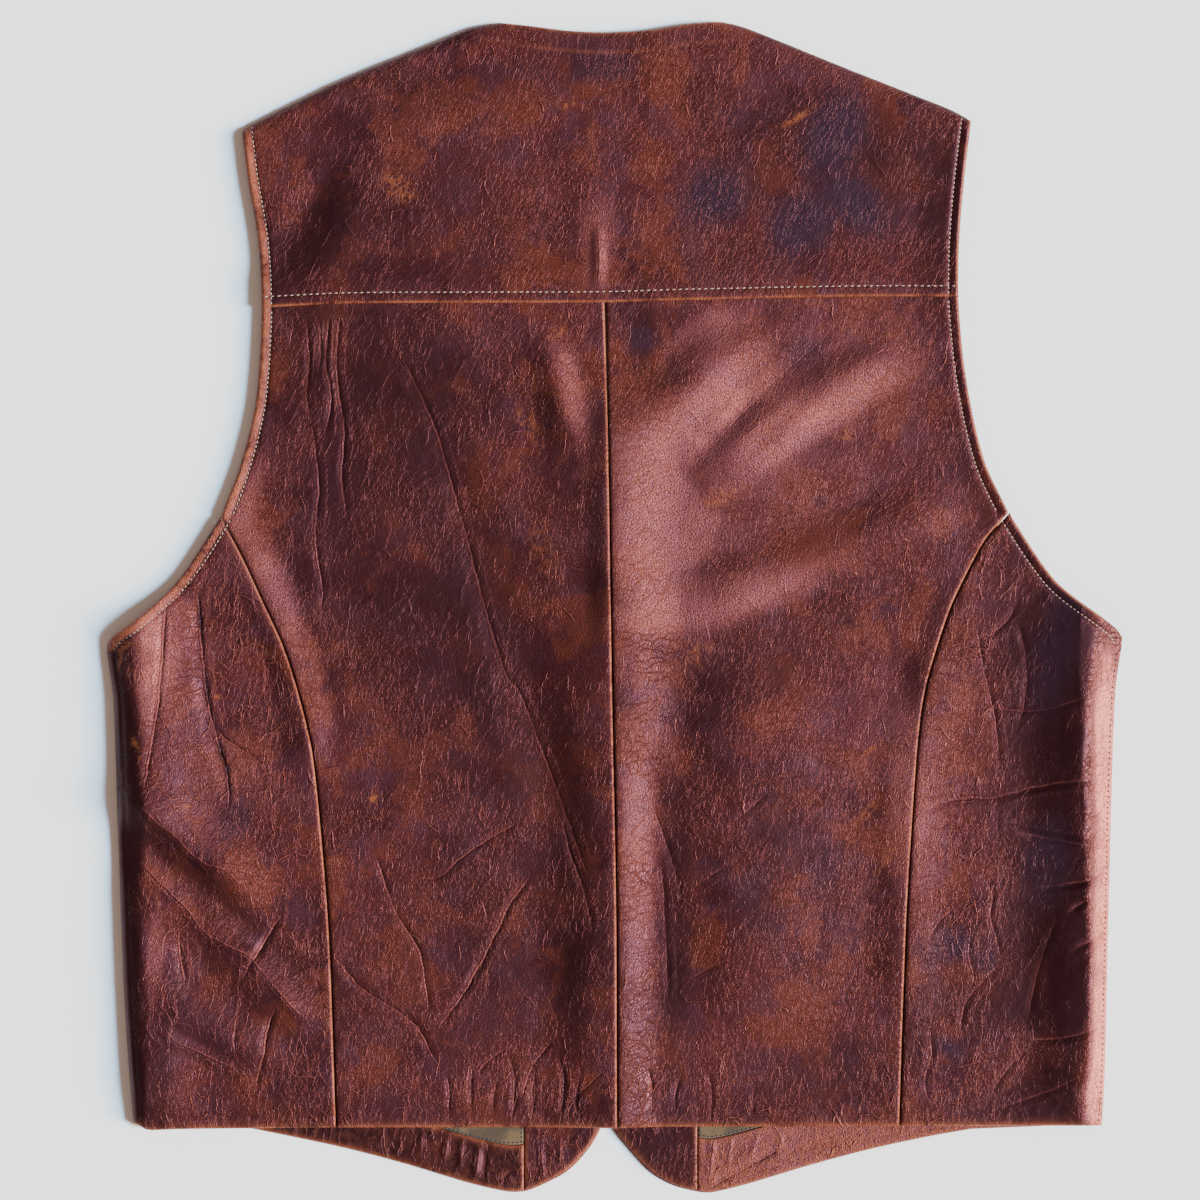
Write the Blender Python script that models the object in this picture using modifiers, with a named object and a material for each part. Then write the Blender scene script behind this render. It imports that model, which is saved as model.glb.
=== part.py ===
"""Leather vest laid flat on a table with its back upwards.

The two fronts lie flat on the table, with their facings and lining on top of them. The back lies over
these layers as five shells: a yoke, two centre panels and two side panels. Every shell follows one
height function, so the folds run across the seams. X runs across the vest, Y runs from hem to neck and
Z is up from the table. The tables below are in millimetres.
"""
from collections import namedtuple

import bmesh
import bpy
import numpy as np

MM = 0.001
COLLECTION = "leather_vest"

# Walls and layers, from the table upwards
LEATHER = 1.5
FACING = 1.3
LINING = 1.0
LAYER_GAP = 0.3
SEAM_GAP = 0.25
BACK_TOP = 6.4
ROLLED_EDGE_Z = 2.25
ROLL_RADIUS = 7.0

# Yoke lap over the centre panels
YOKE_LAP = 9.0
YOKE_LIFT = 2.0
YOKE_LIFT_FADE = 20.0
FLAT_LAP_ZONE = 26.0

# Fronts, facings and lining, hidden under the back apart from the two front tips
FRONT_EDGE_GAP = 0.6
FRONT_MEETING_X = -4.6
FRONT_TIP_START_Y = -270.0
NECK_V_POINT_Y = 70.0
FRONT_ARMHOLE_DEPTH = 14.0
FACING_INSET = 0.8
FACING_SEAM_LEFT_X = -51.3
FACING_SEAM_RIGHT_X = 47.0
HEM_FACING_WIDTH = 26.0
HIDDEN_HEM_Y = -293.5
SHOULDER_SLOPE = 0.45

COLUMN_STEP = 15.0
ROW_STEP = 11.0
CURVE_STEP = 3.0
OUTLINE_TOLERANCE = 0.08
FADE = 0.28

Pair = namedtuple("Pair", "left_x left_y right_x right_y")
Point = namedtuple("Point", "x y")
Fold = namedtuple("Fold", "x0 y0 x1 y1 bow left right height")
Profile = namedtuple("Profile", "distance rise")

# Both armholes from shoulder tip to underarm
ARMHOLE = [
    Pair(-211.8, 271.6, 202.6, 276.7),
    Pair(-208.3, 243.1, 198.6, 243.1),
    Pair(-202.6, 208.9, 195.8, 208.9),
    Pair(-200.4, 170.1, 195.2, 176.4),
    Pair(-203.8, 117.7, 199.8, 129.1),
    Pair(-211.8, 83.5, 210.0, 83.5),
    Pair(-223.7, 51.6, 223.7, 53.9),
    Pair(-248.2, 15.1, 250.5, 15.1),
    Pair(-272.7, -7.7, 279.6, -7.7),
    Pair(-288.7, -19.1, 289.0, -15.7),
]
ARMHOLE_AT_SEAM = 6

# Side edges from underarm to hem
SIDE = [
    Pair(-288.7, -19.1, 289.0, -15.7),
    Pair(-287.8, -30.5, 287.6, -26.0),
    Pair(-284.7, -53.3, 284.7, -47.6),
    Pair(-282.4, -121.7, 282.4, -110.3),
    Pair(-279.0, -212.9, 279.6, -224.3),
    Pair(-276.2, -258.5, 278.7, -264.2),
    Pair(-273.4, -295.4, 277.0, -294.2),
]

# Curved side seams of the back, from armhole to hem
PRINCESS = [
    Pair(-223.7, 51.6, 223.7, 53.9),
    Pair(-210.6, 27.1, 210.0, 37.9),
    Pair(-199.8, 3.7, 192.4, 3.7),
    Pair(-187.8, -22.5, 183.8, -20.2),
    Pair(-178.1, -53.3, 175.8, -48.7),
    Pair(-171.3, -83.5, 171.9, -78.9),
    Pair(-164.4, -153.6, 167.3, -144.5),
    Pair(-161.6, -196.9, 165.0, -188.4),
    Pair(-158.2, -295.3, 161.6, -294.4),
]

# Shoulders and neck, left tip to right tip
SHOULDER_LEFT = [
    Point(-211.8, 271.6),
    Point(-200.9, 277.3),
    Point(-154.2, 300.1),
    Point(-97.8, 322.9),
    Point(-80.7, 329.7),
    Point(-67.0, 332.3),
]
NECK = [
    Point(-67.0, 332.3),
    Point(-48.2, 330.3),
    Point(-25.4, 327.5),
    Point(-5.4, 326.6),
    Point(20.2, 328.0),
    Point(43.0, 331.5),
    Point(61.3, 332.9),
]
SHOULDER_RIGHT = [
    Point(61.3, 332.9),
    Point(74.4, 329.7),
    Point(133.7, 305.8),
    Point(191.2, 283.0),
    Point(202.6, 276.7),
]

CENTRE_SEAM = [
    Point(-5.9, 182.0),
    Point(-3.7, 94.9),
    Point(-1.4, -47.6),
    Point(0.9, -167.3),
    Point(1.4, -295.0),
]
YOKE_SEAM = [
    Point(-200.4, 170.1),
    Point(-153.6, 172.4),
    Point(-82.4, 172.8),
    Point(-6.6, 173.1),
    Point(37.3, 174.4),
    Point(139.9, 176.4),
    Point(195.2, 176.4),
]
HEM = [
    Point(-273.4, -295.4),
    Point(-158.2, -295.3),
    Point(1.4, -295.0),
    Point(161.6, -294.4),
    Point(277.0, -294.2),
]

# Lower edges of the two fronts, from the front edge round the tip to where the back hides them
FRONT_TIP = [
    Pair(-7.7, -295.0, -1.4, -295.0),
    Pair(-14.0, -306.9, 8.8, -309.2),
    Pair(-25.4, -319.5, 20.2, -321.2),
    Pair(-36.8, -326.3, 31.6, -328.0),
    Pair(-50.0, -331.8, 43.0, -331.5),
    Pair(-60.5, -332.4, 54.4, -332.9),
    Pair(-82.4, -327.5, 77.2, -327.5),
    Pair(-116.6, -317.2, 111.4, -317.2),
    Pair(-150.8, -308.1, 145.6, -308.1),
    Pair(-185.0, -300.7, 179.8, -300.7),
    Pair(-207.8, -296.1, 202.6, -296.7),
]

# Largest folds. Each runs from its first to its second end, bows sideways in the middle, and falls off
# over a half width on its left and on its right as seen along that run.
FOLDS = [
    # Long ridge under the centre seam and the hollow beyond it
    Fold(1.0, -293.0, -3.5, 128.0, 0.0, 50.0, 34.0, 5.6),
    Fold(-1.0, -42.0, -3.0, 118.0, 0.0, 16.0, 48.0, 2.0),
    Fold(74.0, -232.0, 74.0, -30.0, 0.0, 40.0, 74.0, 3.2),
    # Diagonal drag lines towards the right armhole
    Fold(8.0, 92.0, 74.0, 164.0, 3.0, 24.0, 24.0, 2.6),
    Fold(49.0, 78.0, 146.0, 136.0, 4.0, 22.0, 22.0, 2.6),
    Fold(52.0, 8.0, 183.0, 64.0, 4.0, 25.0, 25.0, 2.8),
    # Hollow along the soft crease of the left centre panel
    Fold(-104.0, 106.0, -17.0, -161.0, 5.0, 22.0, 30.0, -1.3),
    # Crests along the two princess seams
    Fold(-210.0, 30.0, -166.0, -110.0, 9.0, 18.0, 18.0, 1.5),
    Fold(188.0, -6.0, 163.0, -230.0, -7.0, 28.0, 24.0, 2.2),
    # Rolls inside both side edges
    Fold(-265.0, -20.0, -262.0, -150.0, 0.0, 42.0, 26.0, 3.8),
    Fold(-264.0, -130.0, -262.0, -290.0, 0.0, 32.0, 26.0, 2.4),
    Fold(266.0, -2.0, 264.0, -238.0, 0.0, 26.0, 34.0, 4.6),
    # Slanting folds of the left side panel
    Fold(-268.0, -128.0, -180.0, -198.0, 3.0, 13.0, 13.0, 1.6),
    Fold(-262.0, -170.0, -172.0, -232.0, 3.0, 13.0, 13.0, 1.6),
    Fold(-256.0, -214.0, -174.0, -264.0, 3.0, 13.0, 13.0, 1.4),
    # Hollow across the left end of the yoke
    Fold(-158.0, 256.0, -190.0, 194.0, 0.0, 20.0, 16.0, -1.2),
]

# Height of an edge's outer points over the plain surface, by distance in from that edge
TURNED_EDGE = Profile(distance=[0.0, 2.8, 6.2], rise=[-0.3, 0.5, 0.0])
SEAM_EDGE = Profile(distance=[0.0, 2.8], rise=[-0.6, 0.0])

# Grid lines near an edge, by distance in from it
EDGE_LINES = [0.0, 2.8, 6.2]
ROLL_LINES = [0.0, 0.134 * ROLL_RADIUS, 0.5 * ROLL_RADIUS, ROLL_RADIUS]


def clear_scene():
    """Remove every object of the start-up scene."""
    for item in list(bpy.data.objects):
        bpy.data.objects.remove(item, do_unlink=True)


def make_material(name, colour, roughness):
    """Principled material of one colour."""
    material = bpy.data.materials.new(name)
    material.use_nodes = True
    shader = material.node_tree.nodes["Principled BSDF"]
    shader.inputs["Base Color"].default_value = (*colour, 1.0)
    shader.inputs["Roughness"].default_value = roughness
    shader.inputs["Metallic"].default_value = 0.0
    return material


def side_points(table, side):
    """One side's points of a table whose rows hold a left and a right point."""
    return np.array([(getattr(row, side + "_x"), getattr(row, side + "_y")) for row in table])


def smooth_curve(knots):
    """Points about CURVE_STEP apart on a smooth curve through the knots."""
    knots = np.array(knots, float)
    before = 2.0 * knots[0] - knots[1]
    after = 2.0 * knots[-1] - knots[-2]
    padded = np.vstack([before, knots, after])
    pieces = []
    for index in range(len(knots) - 1):
        p0, p1, p2, p3 = padded[index:index + 4]
        count = max(2, int(np.ceil(np.linalg.norm(p2 - p1) / CURVE_STEP)))
        t = np.linspace(0.0, 1.0, count, endpoint=False)[:, None]
        slope1 = 0.5 * (p2 - p0) * min(1.0, np.linalg.norm(p2 - p1) / np.linalg.norm(p1 - p0))
        slope2 = 0.5 * (p3 - p1) * min(1.0, np.linalg.norm(p2 - p1) / np.linalg.norm(p3 - p2))
        pieces.append(
            (2 * t**3 - 3 * t**2 + 1) * p1
            + (t**3 - 2 * t**2 + t) * slope1
            + (3 * t**2 - 2 * t**3) * p2
            + (t**3 - t**2) * slope2
        )
    pieces.append(knots[-1:])
    return np.vstack(pieces)


def at_height(curve, y):
    """Point of a falling curve at height y."""
    return np.array([np.interp(-y, -curve[:, 1], curve[:, 0]), y])


def below(curve, y):
    """Part of a falling curve from height y down."""
    return np.vstack([[at_height(curve, y)], curve[curve[:, 1] < y]])


def above(curve, y):
    """Part of a falling curve down to height y."""
    return np.vstack([curve[curve[:, 1] > y], [at_height(curve, y)]])


def shifted(curve, dx, dy=0.0):
    """Curve moved in plan."""
    return curve + np.array([dx, dy])


def stretch(curve, first_x, last_x):
    """Function from shares to points of a curve that runs in X, between two places on it."""
    def points(share):
        x = first_x + share * (last_x - first_x)
        return np.stack([x, np.interp(x, curve[:, 0], curve[:, 1])], axis=-1)
    return points


def along(curve, share):
    """Points at the given shares of a curve's length."""
    steps = np.linalg.norm(np.diff(curve, axis=0), axis=1)
    run = np.concatenate([[0.0], np.cumsum(steps)]) / steps.sum()
    return np.stack([np.interp(share, run, curve[:, axis]) for axis in (0, 1)], axis=-1)


def down(curve, share):
    """Points of a falling curve at the given shares of its height."""
    y = curve[0, 1] + share * (curve[-1, 1] - curve[0, 1])
    return np.stack([np.interp(-y, -curve[:, 1], curve[:, 0]), y], axis=-1)


def fewest_points(curve, tolerance):
    """The points of a curve that keep it within a tolerance of its course."""
    if len(curve) < 3:
        return curve
    chord = curve[[0, -1]]
    off = distance_to(curve, chord)
    split = int(off.argmax())
    if off[split] < tolerance:
        return chord
    first = fewest_points(curve[:split + 1], tolerance)
    return np.vstack([first[:-1], fewest_points(curve[split:], tolerance)])


def distance_to(points, curve):
    """Distance in plan from each point to a polyline."""
    start = curve[:-1]
    step = curve[1:] - start
    offset = points[:, None, :] - start[None, :, :]
    share = np.clip((offset * step).sum(-1) / (step * step).sum(-1), 0.0, 1.0)
    return np.linalg.norm(offset - share[..., None] * step, axis=-1).min(axis=1)


def ease(value):
    """Smooth step from 0 to 1."""
    value = np.clip(value, 0.0, 1.0)
    return value * value * (3.0 - 2.0 * value)


def fold_height(points):
    """Sum of all folds at points in plan, fading to nothing beside the yoke lap."""
    total = np.zeros(len(points))
    for fold in FOLDS:
        start = np.array([fold.x0, fold.y0])
        run = np.array([fold.x1, fold.y1]) - start
        length = np.linalg.norm(run)
        forward = run / length
        leftward = np.array([-forward[1], forward[0]])
        share = (points - start) @ forward / length
        sideways = (points - start) @ leftward - fold.bow * 4.0 * share * (1.0 - share)
        width = np.where(sideways > 0.0, fold.left, fold.right)
        bell = 0.5 + 0.5 * np.cos(np.pi * np.clip(np.abs(sideways) / width, 0.0, 1.0))
        total += fold.height * bell * ease(share / FADE) * ease((1.0 - share) / FADE)
    above_lap = np.abs(points[:, 1] - seam_height(points[:, 0]))
    return total * ease((above_lap - YOKE_LAP) / FLAT_LAP_ZONE)


def seam_height(x):
    """Y of the yoke's lower edge at each x."""
    return np.interp(x, YOKE_CURVE[:, 0], YOKE_CURVE[:, 1])


def edge_rise(points, profile, curves):
    """Rise of the outer points along sewn edges."""
    distance = np.min([distance_to(points, curve) for curve in curves], axis=0)
    return np.interp(distance, profile.distance, profile.rise)


def back_height(points, seams):
    """Height of the back's outer surface over the table."""
    top = BACK_TOP + fold_height(points)
    top += edge_rise(points, TURNED_EDGE, ARMHOLES.values())
    if seams:
        top += edge_rise(points, SEAM_EDGE, seams + [HEM_CURVE])
    else:
        lap = points[:, 1] - seam_height(points[:, 0]) - YOKE_LAP
        top += YOKE_LIFT * (1.0 - ease(lap / YOKE_LIFT_FADE))
    inward = np.min([distance_to(points, curve) for curve in ROLLED_EDGES], axis=0)
    turn = 1.0 - np.clip(inward / ROLL_RADIUS, 0.0, 1.0)
    return ROLLED_EDGE_Z + (top - ROLLED_EDGE_Z) * np.sqrt(1.0 - turn * turn)


def space_count(length, step, first_lines, last_lines):
    """Number of even spaces between the set lines beside both edges."""
    return max(2, int(round((length - first_lines[-1] - last_lines[-1]) / step)))


def spread(lengths, count, first_lines, last_lines):
    """For each length, the shares of the lines beside both edges and of count even spaces between."""
    lengths = np.asarray(lengths, float)[:, None]
    first = np.array(first_lines)[None, :] / lengths
    last = 1.0 - np.array(last_lines[::-1])[None, :] / lengths
    middle = np.linspace(0.0, 1.0, count + 1)[None, 1:-1]
    between = first[:, -1:] + middle * (last[:, :1] - first[:, -1:])
    return np.hstack([first, between, last])


def make_panel(name, edges, lines, seams, material, collection):
    """Shell panel: a grid laid between four edge curves, lifted to its height and given its wall."""
    top, bottom, left, right = edges
    probe = np.linspace(0.0, 1.0, 21)
    wide = np.linalg.norm(left(probe) - right(probe), axis=1)
    tall = np.linalg.norm(top(probe) - bottom(probe), axis=1)
    columns = space_count(wide.max(), COLUMN_STEP, lines["left"], lines["right"])
    rows = space_count(tall.max(), ROW_STEP, lines["top"], lines["bottom"])

    even_rows = spread([tall.mean()], rows, lines["top"], lines["bottom"])[0]
    even_columns = spread([wide.mean()], columns, lines["left"], lines["right"])[0]
    row_wide = np.linalg.norm(left(even_rows) - right(even_rows), axis=1)
    column_tall = np.linalg.norm(top(even_columns) - bottom(even_columns), axis=1)
    u = spread(row_wide, columns, lines["left"], lines["right"])
    v = spread(column_tall, rows, lines["top"], lines["bottom"]).T

    u_run, v_run = u.ravel(), v.ravel()
    a, b = u_run[:, None], v_run[:, None]
    plan = (1 - b) * top(u_run) + b * bottom(u_run) + (1 - a) * left(v_run) + a * right(v_run)
    ends = np.array([0.0, 1.0])
    (corner_tl, corner_tr), (corner_bl, corner_br) = top(ends), bottom(ends)
    plan -= (1 - a) * ((1 - b) * corner_tl + b * corner_bl) + a * ((1 - b) * corner_tr + b * corner_br)
    height = back_height(plan, seams)

    mesh = bpy.data.meshes.new(name)
    grid = bmesh.new()
    bmesh.ops.create_grid(grid, x_segments=u.shape[1] - 1, y_segments=u.shape[0] - 1, size=0.5)
    for vertex in grid.verts:
        column = round((vertex.co.x + 0.5) * (u.shape[1] - 1))
        row = round((0.5 - vertex.co.y) * (u.shape[0] - 1))
        index = row * u.shape[1] + column
        vertex.co = (plan[index, 0] * MM, plan[index, 1] * MM, height[index] * MM)
    grid.to_mesh(mesh)
    grid.free()
    mesh.shade_smooth()

    panel = bpy.data.objects.new(name, mesh)
    collection.objects.link(panel)
    mesh.materials.append(material)
    wall = panel.modifiers.new("wall", "SOLIDIFY")
    wall.thickness = LEATHER * MM
    wall.offset = -1.0
    return panel


def make_flat(name, outline, low, thickness, material, collection):
    """Flat piece: a filled outline of the given thickness lying at a height."""
    outline = fewest_points(outline, OUTLINE_TOLERANCE)
    curve = bpy.data.curves.new(name, "CURVE")
    curve.dimensions = "2D"
    curve.fill_mode = "BOTH"
    curve.extrude = 0.5 * thickness * MM
    spline = curve.splines.new("POLY")
    spline.points.add(len(outline) - 1)
    for point, (x, y) in zip(spline.points, outline):
        point.co = (x * MM, y * MM, 0.0, 1.0)
    spline.use_cyclic_u = True
    piece = bpy.data.objects.new(name, curve)
    piece.location.z = (low + 0.5 * thickness) * MM
    collection.objects.link(piece)
    curve.materials.append(material)
    return piece


YOKE_CURVE = smooth_curve(YOKE_SEAM)
HEM_CURVE = smooth_curve(HEM)
CENTRE_CURVE = smooth_curve(CENTRE_SEAM)
NECK_CURVE = smooth_curve(NECK)
SHOULDERS = {"left": smooth_curve(SHOULDER_LEFT), "right": smooth_curve(SHOULDER_RIGHT)}
SIDES = {side: smooth_curve(side_points(SIDE, side)) for side in ("left", "right")}
PRINCESSES = {side: smooth_curve(side_points(PRINCESS, side)) for side in ("left", "right")}
ARMHOLES = {side: smooth_curve(side_points(ARMHOLE, side)) for side in ("left", "right")}
ROLLED_EDGES = [SIDES["left"], SIDES["right"], SHOULDERS["left"], SHOULDERS["right"]]
UPPER_ARMHOLES = {
    side: smooth_curve(side_points(ARMHOLE, side)[:ARMHOLE_AT_SEAM + 1]) for side in ("left", "right")
}
LOWER_ARMHOLES = {
    side: smooth_curve(side_points(ARMHOLE, side)[ARMHOLE_AT_SEAM:]) for side in ("left", "right")
}


def make_yoke(material, collection):
    """Back yoke, whose lower edge laps over the centre panels."""
    top = np.vstack([SHOULDERS["left"], NECK_CURVE[1:], SHOULDERS["right"][1:]])
    left = above(ARMHOLES["left"], YOKE_CURVE[0, 1])
    right = above(ARMHOLES["right"], YOKE_CURVE[-1, 1])
    edges = (
        stretch(top, top[0, 0], top[-1, 0]),
        stretch(YOKE_CURVE, left[-1, 0], right[-1, 0]),
        lambda share: down(left, share),
        lambda share: down(right, share),
    )
    lines = {"left": EDGE_LINES, "right": EDGE_LINES, "top": ROLL_LINES, "bottom": EDGE_LINES}
    make_panel("back_yoke", edges, lines, [], material, collection)


def make_centre_panel(side, material, collection):
    """Centre panel of the back between the centre seam and the armhole and princess seam."""
    sign = -1.0 if side == "left" else 1.0
    lap_curve = shifted(YOKE_CURVE, 0.0, YOKE_LAP)
    outer_top = lap_curve[0, 1] if side == "left" else lap_curve[-1, 1]
    seam = shifted(PRINCESSES[side], -sign * SEAM_GAP)
    outer = np.vstack([below(UPPER_ARMHOLES[side], outer_top)[:-1], seam])
    inner = shifted(CENTRE_CURVE, sign * SEAM_GAP)
    inner_top = np.interp(inner[0, 0], lap_curve[:, 0], lap_curve[:, 1])
    inner = below(inner, inner_top)
    left, right = (outer, inner) if side == "left" else (inner, outer)

    edges = (
        stretch(lap_curve, left[0, 0], right[0, 0]),
        stretch(HEM_CURVE, left[-1, 0], right[-1, 0]),
        lambda share: down(left, share),
        lambda share: down(right, share),
    )
    lines = {"left": EDGE_LINES, "right": EDGE_LINES, "top": EDGE_LINES[:1], "bottom": EDGE_LINES[:2]}
    seams = [PRINCESSES[side], CENTRE_CURVE]
    make_panel("back_centre_" + side, edges, lines, seams, material, collection)


def make_side_panel(side, material, collection):
    """Side panel of the back between the princess seam and the side edge, under the armhole."""
    sign = -1.0 if side == "left" else 1.0
    inner = shifted(PRINCESSES[side], sign * SEAM_GAP)
    outer = SIDES[side]
    armhole = np.vstack([inner[:1], LOWER_ARMHOLES[side][1:]])
    top = armhole[::-1] if side == "left" else armhole
    left, right = (outer, inner) if side == "left" else (inner, outer)
    edges = (
        lambda share: along(top, share),
        stretch(HEM_CURVE, left[-1, 0], right[-1, 0]),
        lambda share: along(left, share),
        lambda share: along(right, share),
    )
    rolled, sewn = ("left", "right") if side == "left" else ("right", "left")
    lines = {rolled: ROLL_LINES, sewn: EDGE_LINES[:2], "top": EDGE_LINES, "bottom": EDGE_LINES[:2]}
    make_panel("back_side_" + side, edges, lines, [PRINCESSES[side]], material, collection)


def front_edge(side):
    """Front edge and tip of a front, from the point of the neck V down and out to the hidden hem."""
    sign = -1.0 if side == "left" else 1.0
    edge_x = FRONT_MEETING_X + sign * 0.5 * FRONT_EDGE_GAP
    knots = [(edge_x, NECK_V_POINT_Y), (edge_x, FRONT_TIP_START_Y)]
    return smooth_curve(np.vstack([knots, side_points(FRONT_TIP, side)]))


def make_front(side, leather, lining, collection):
    """One front with its front facing, hem facing and lining, all flat."""
    sign = -1.0 if side == "left" else 1.0
    edge = front_edge(side)
    neck_point = SHOULDERS["left"][-1] if side == "left" else SHOULDERS["right"][0]
    shoulder = SHOULDERS[side] if side == "right" else SHOULDERS[side][::-1]
    armhole = ARMHOLES[side].copy()
    depth = FRONT_ARMHOLE_DEPTH * np.sin(np.pi * np.linspace(0.0, 1.0, len(armhole)))
    armhole[:, 0] -= sign * depth
    hem_end = np.array([[SIDES[side][-1, 0], HIDDEN_HEM_Y]])
    side_edge = SIDES[side][SIDES[side][:, 1] > HIDDEN_HEM_Y]
    outline = np.vstack([edge, hem_end, side_edge[::-1], armhole[::-1], shoulder[::-1]])
    make_flat("front_" + side, outline, 0.0, LEATHER, leather, collection)

    # The facing seam runs up inside the front edge, then beside the neck V to the shoulder
    low = LEATHER + LAYER_GAP
    seam_x = FACING_SEAM_LEFT_X if side == "left" else FACING_SEAM_RIGHT_X
    seam_width = abs(seam_x - edge[0, 0])
    inset_edge = edge.copy()
    inset_edge[:, 0] += sign * FACING_INSET
    inset_edge[:, 1] += FACING_INSET * ease((FRONT_TIP_START_Y - edge[:, 1]) / seam_width)
    beyond_seam = sign * (inset_edge[:, 0] - seam_x)
    tip_at_seam = np.interp(0.0, beyond_seam, inset_edge[:, 1])
    neck_end = neck_point + np.array([sign * FACING_INSET, -2.0 * ROLL_RADIUS])
    seam_top = neck_end + np.array([sign * seam_width, -SHOULDER_SLOPE * seam_width])
    front_facing = np.vstack([
        [neck_end],
        inset_edge[beyond_seam < 0.0],
        [(seam_x, tip_at_seam)],
        [(seam_x, NECK_V_POINT_Y)],
        [seam_top],
    ])
    make_flat("front_facing_" + side, front_facing, low, FACING, leather, collection)

    # The hem facing is a band along the front's hem, from the facing seam to the side edge
    start_x = seam_x + sign * LAYER_GAP
    side_x = SIDES[side][-1, 0] - sign * ROLL_RADIUS
    hem_line = np.vstack([
        [(start_x, tip_at_seam)],
        inset_edge[beyond_seam > 2.0 * LAYER_GAP],
        [(side_x, HIDDEN_HEM_Y + FACING_INSET)],
    ])
    band_top = hem_line + np.array([0.0, HEM_FACING_WIDTH])
    hem_facing = np.vstack([hem_line, band_top[::-1]])
    make_flat("hem_facing_" + side, hem_facing, low, FACING, leather, collection)

    # The lining covers the rest of the front's inside
    lining_low = band_top + np.array([0.0, LAYER_GAP])
    armhole_in = armhole.copy()
    armhole_in[:, 0] -= sign * ROLL_RADIUS
    lining_outline = np.vstack([
        lining_low,
        [(SIDES[side][0, 0] - sign * 2.0 * ROLL_RADIUS, armhole_in[-1, 1] - ROLL_RADIUS)],
        armhole_in[::-1][1:-4],
        [seam_top + np.array([sign * 2.0 * LAYER_GAP, -ROLL_RADIUS])],
        [(start_x, NECK_V_POINT_Y)],
    ])
    make_flat("front_lining_" + side, lining_outline, low, LINING, lining, collection)


def main():
    """Build the vest."""
    clear_scene()
    collection = bpy.data.collections.new(COLLECTION)
    bpy.context.scene.collection.children.link(collection)
    leather = make_material("vest_leather", (0.115, 0.036, 0.030), 0.45)
    lining = make_material("vest_lining", (0.185, 0.150, 0.085), 0.9)
    make_yoke(leather, collection)
    for side in ("left", "right"):
        make_centre_panel(side, leather, collection)
        make_side_panel(side, leather, collection)
        make_front(side, leather, lining, collection)


main()
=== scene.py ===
# %% [markdown]
# # A leather vest, laid flat with its back up
#
# The real vest is cut from waxed leather that lightens to orange wherever it is bent or rubbed. It lies on
# a pale surface and is seen from straight above: five back panels cover everything but the two front tips,
# whose inside shows below the hem. This lesson builds each panel as a thin closed shell, bends it with the
# folds that the vest really has, and then adds the wrinkles, the stitches and the finish of the leather.
#
# The first cell loads the imported model as a fixed frame.

import math
from collections import namedtuple

import bpy
import numpy as np
from mathutils.geometry import delaunay_2d_cdt
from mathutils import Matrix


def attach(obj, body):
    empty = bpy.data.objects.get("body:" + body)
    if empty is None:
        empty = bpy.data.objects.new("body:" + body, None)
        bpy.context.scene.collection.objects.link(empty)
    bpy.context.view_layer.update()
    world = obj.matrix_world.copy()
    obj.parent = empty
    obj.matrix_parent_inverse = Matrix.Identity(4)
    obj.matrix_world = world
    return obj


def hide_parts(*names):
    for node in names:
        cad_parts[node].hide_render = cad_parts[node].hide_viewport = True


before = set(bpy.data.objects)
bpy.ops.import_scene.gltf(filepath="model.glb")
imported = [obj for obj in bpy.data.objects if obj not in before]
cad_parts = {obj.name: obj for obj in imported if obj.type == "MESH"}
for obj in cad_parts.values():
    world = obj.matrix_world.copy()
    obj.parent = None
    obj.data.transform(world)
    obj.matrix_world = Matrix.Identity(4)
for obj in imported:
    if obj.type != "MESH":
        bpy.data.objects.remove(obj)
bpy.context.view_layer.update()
MM = 0.001
print("nodes in the frame:", len(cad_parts))

# %% [markdown]
# ## The pattern of the vest
#
# A pattern maker draws each piece by its edge lines: armholes, side edges, the curved side seams of the back
# (princess seams), shoulders, neck, centre seam, yoke seam and hem. The same lines are given here in
# millimetres, X across the vest and Y from hem to neck. A row that serves both sides holds a left and a
# right point, because a garment laid by hand is never quite even.

# %% Edge lines of the pattern, in millimetres
Pair = namedtuple("Pair", "left_x left_y right_x right_y")

ARMHOLE = [
    Pair(-211.8, 271.6, 202.6, 276.7),
    Pair(-208.3, 243.1, 198.6, 243.1),
    Pair(-202.6, 208.9, 195.8, 208.9),
    Pair(-200.4, 170.1, 195.2, 176.4),
    Pair(-203.8, 117.7, 199.8, 129.1),
    Pair(-211.8, 83.5, 210.0, 83.5),
    Pair(-223.7, 51.6, 223.7, 53.9),
    Pair(-248.2, 15.1, 250.5, 15.1),
    Pair(-272.7, -7.7, 279.6, -7.7),
    Pair(-284.6, -16.0, 286.0, -13.0),
    Pair(-288.2, -20.2, 288.6, -17.2),
]
ARMHOLE_AT_SEAM = 6
SIDE = [
    Pair(-288.2, -20.2, 288.6, -17.2),
    Pair(-288.5, -25.0, 288.3, -22.0),
    Pair(-287.6, -31.5, 287.4, -27.0),
    Pair(-284.7, -53.3, 284.7, -47.6),
    Pair(-282.4, -121.7, 282.4, -110.3),
    Pair(-279.0, -212.9, 279.6, -224.3),
    Pair(-276.2, -258.5, 278.7, -264.2),
    Pair(-273.4, -293.0, 277.0, -294.2),
]
PRINCESS = [
    Pair(-223.7, 51.6, 223.7, 53.9),
    Pair(-210.6, 27.1, 210.0, 37.9),
    Pair(-199.8, 3.7, 192.4, 3.7),
    Pair(-187.8, -22.5, 183.8, -20.2),
    Pair(-178.1, -53.3, 175.8, -48.7),
    Pair(-171.3, -83.5, 171.9, -78.9),
    Pair(-164.4, -153.6, 167.3, -144.5),
    Pair(-161.6, -196.9, 165.0, -188.4),
    Pair(-158.2, -295.3, 161.6, -294.4),
]
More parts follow.
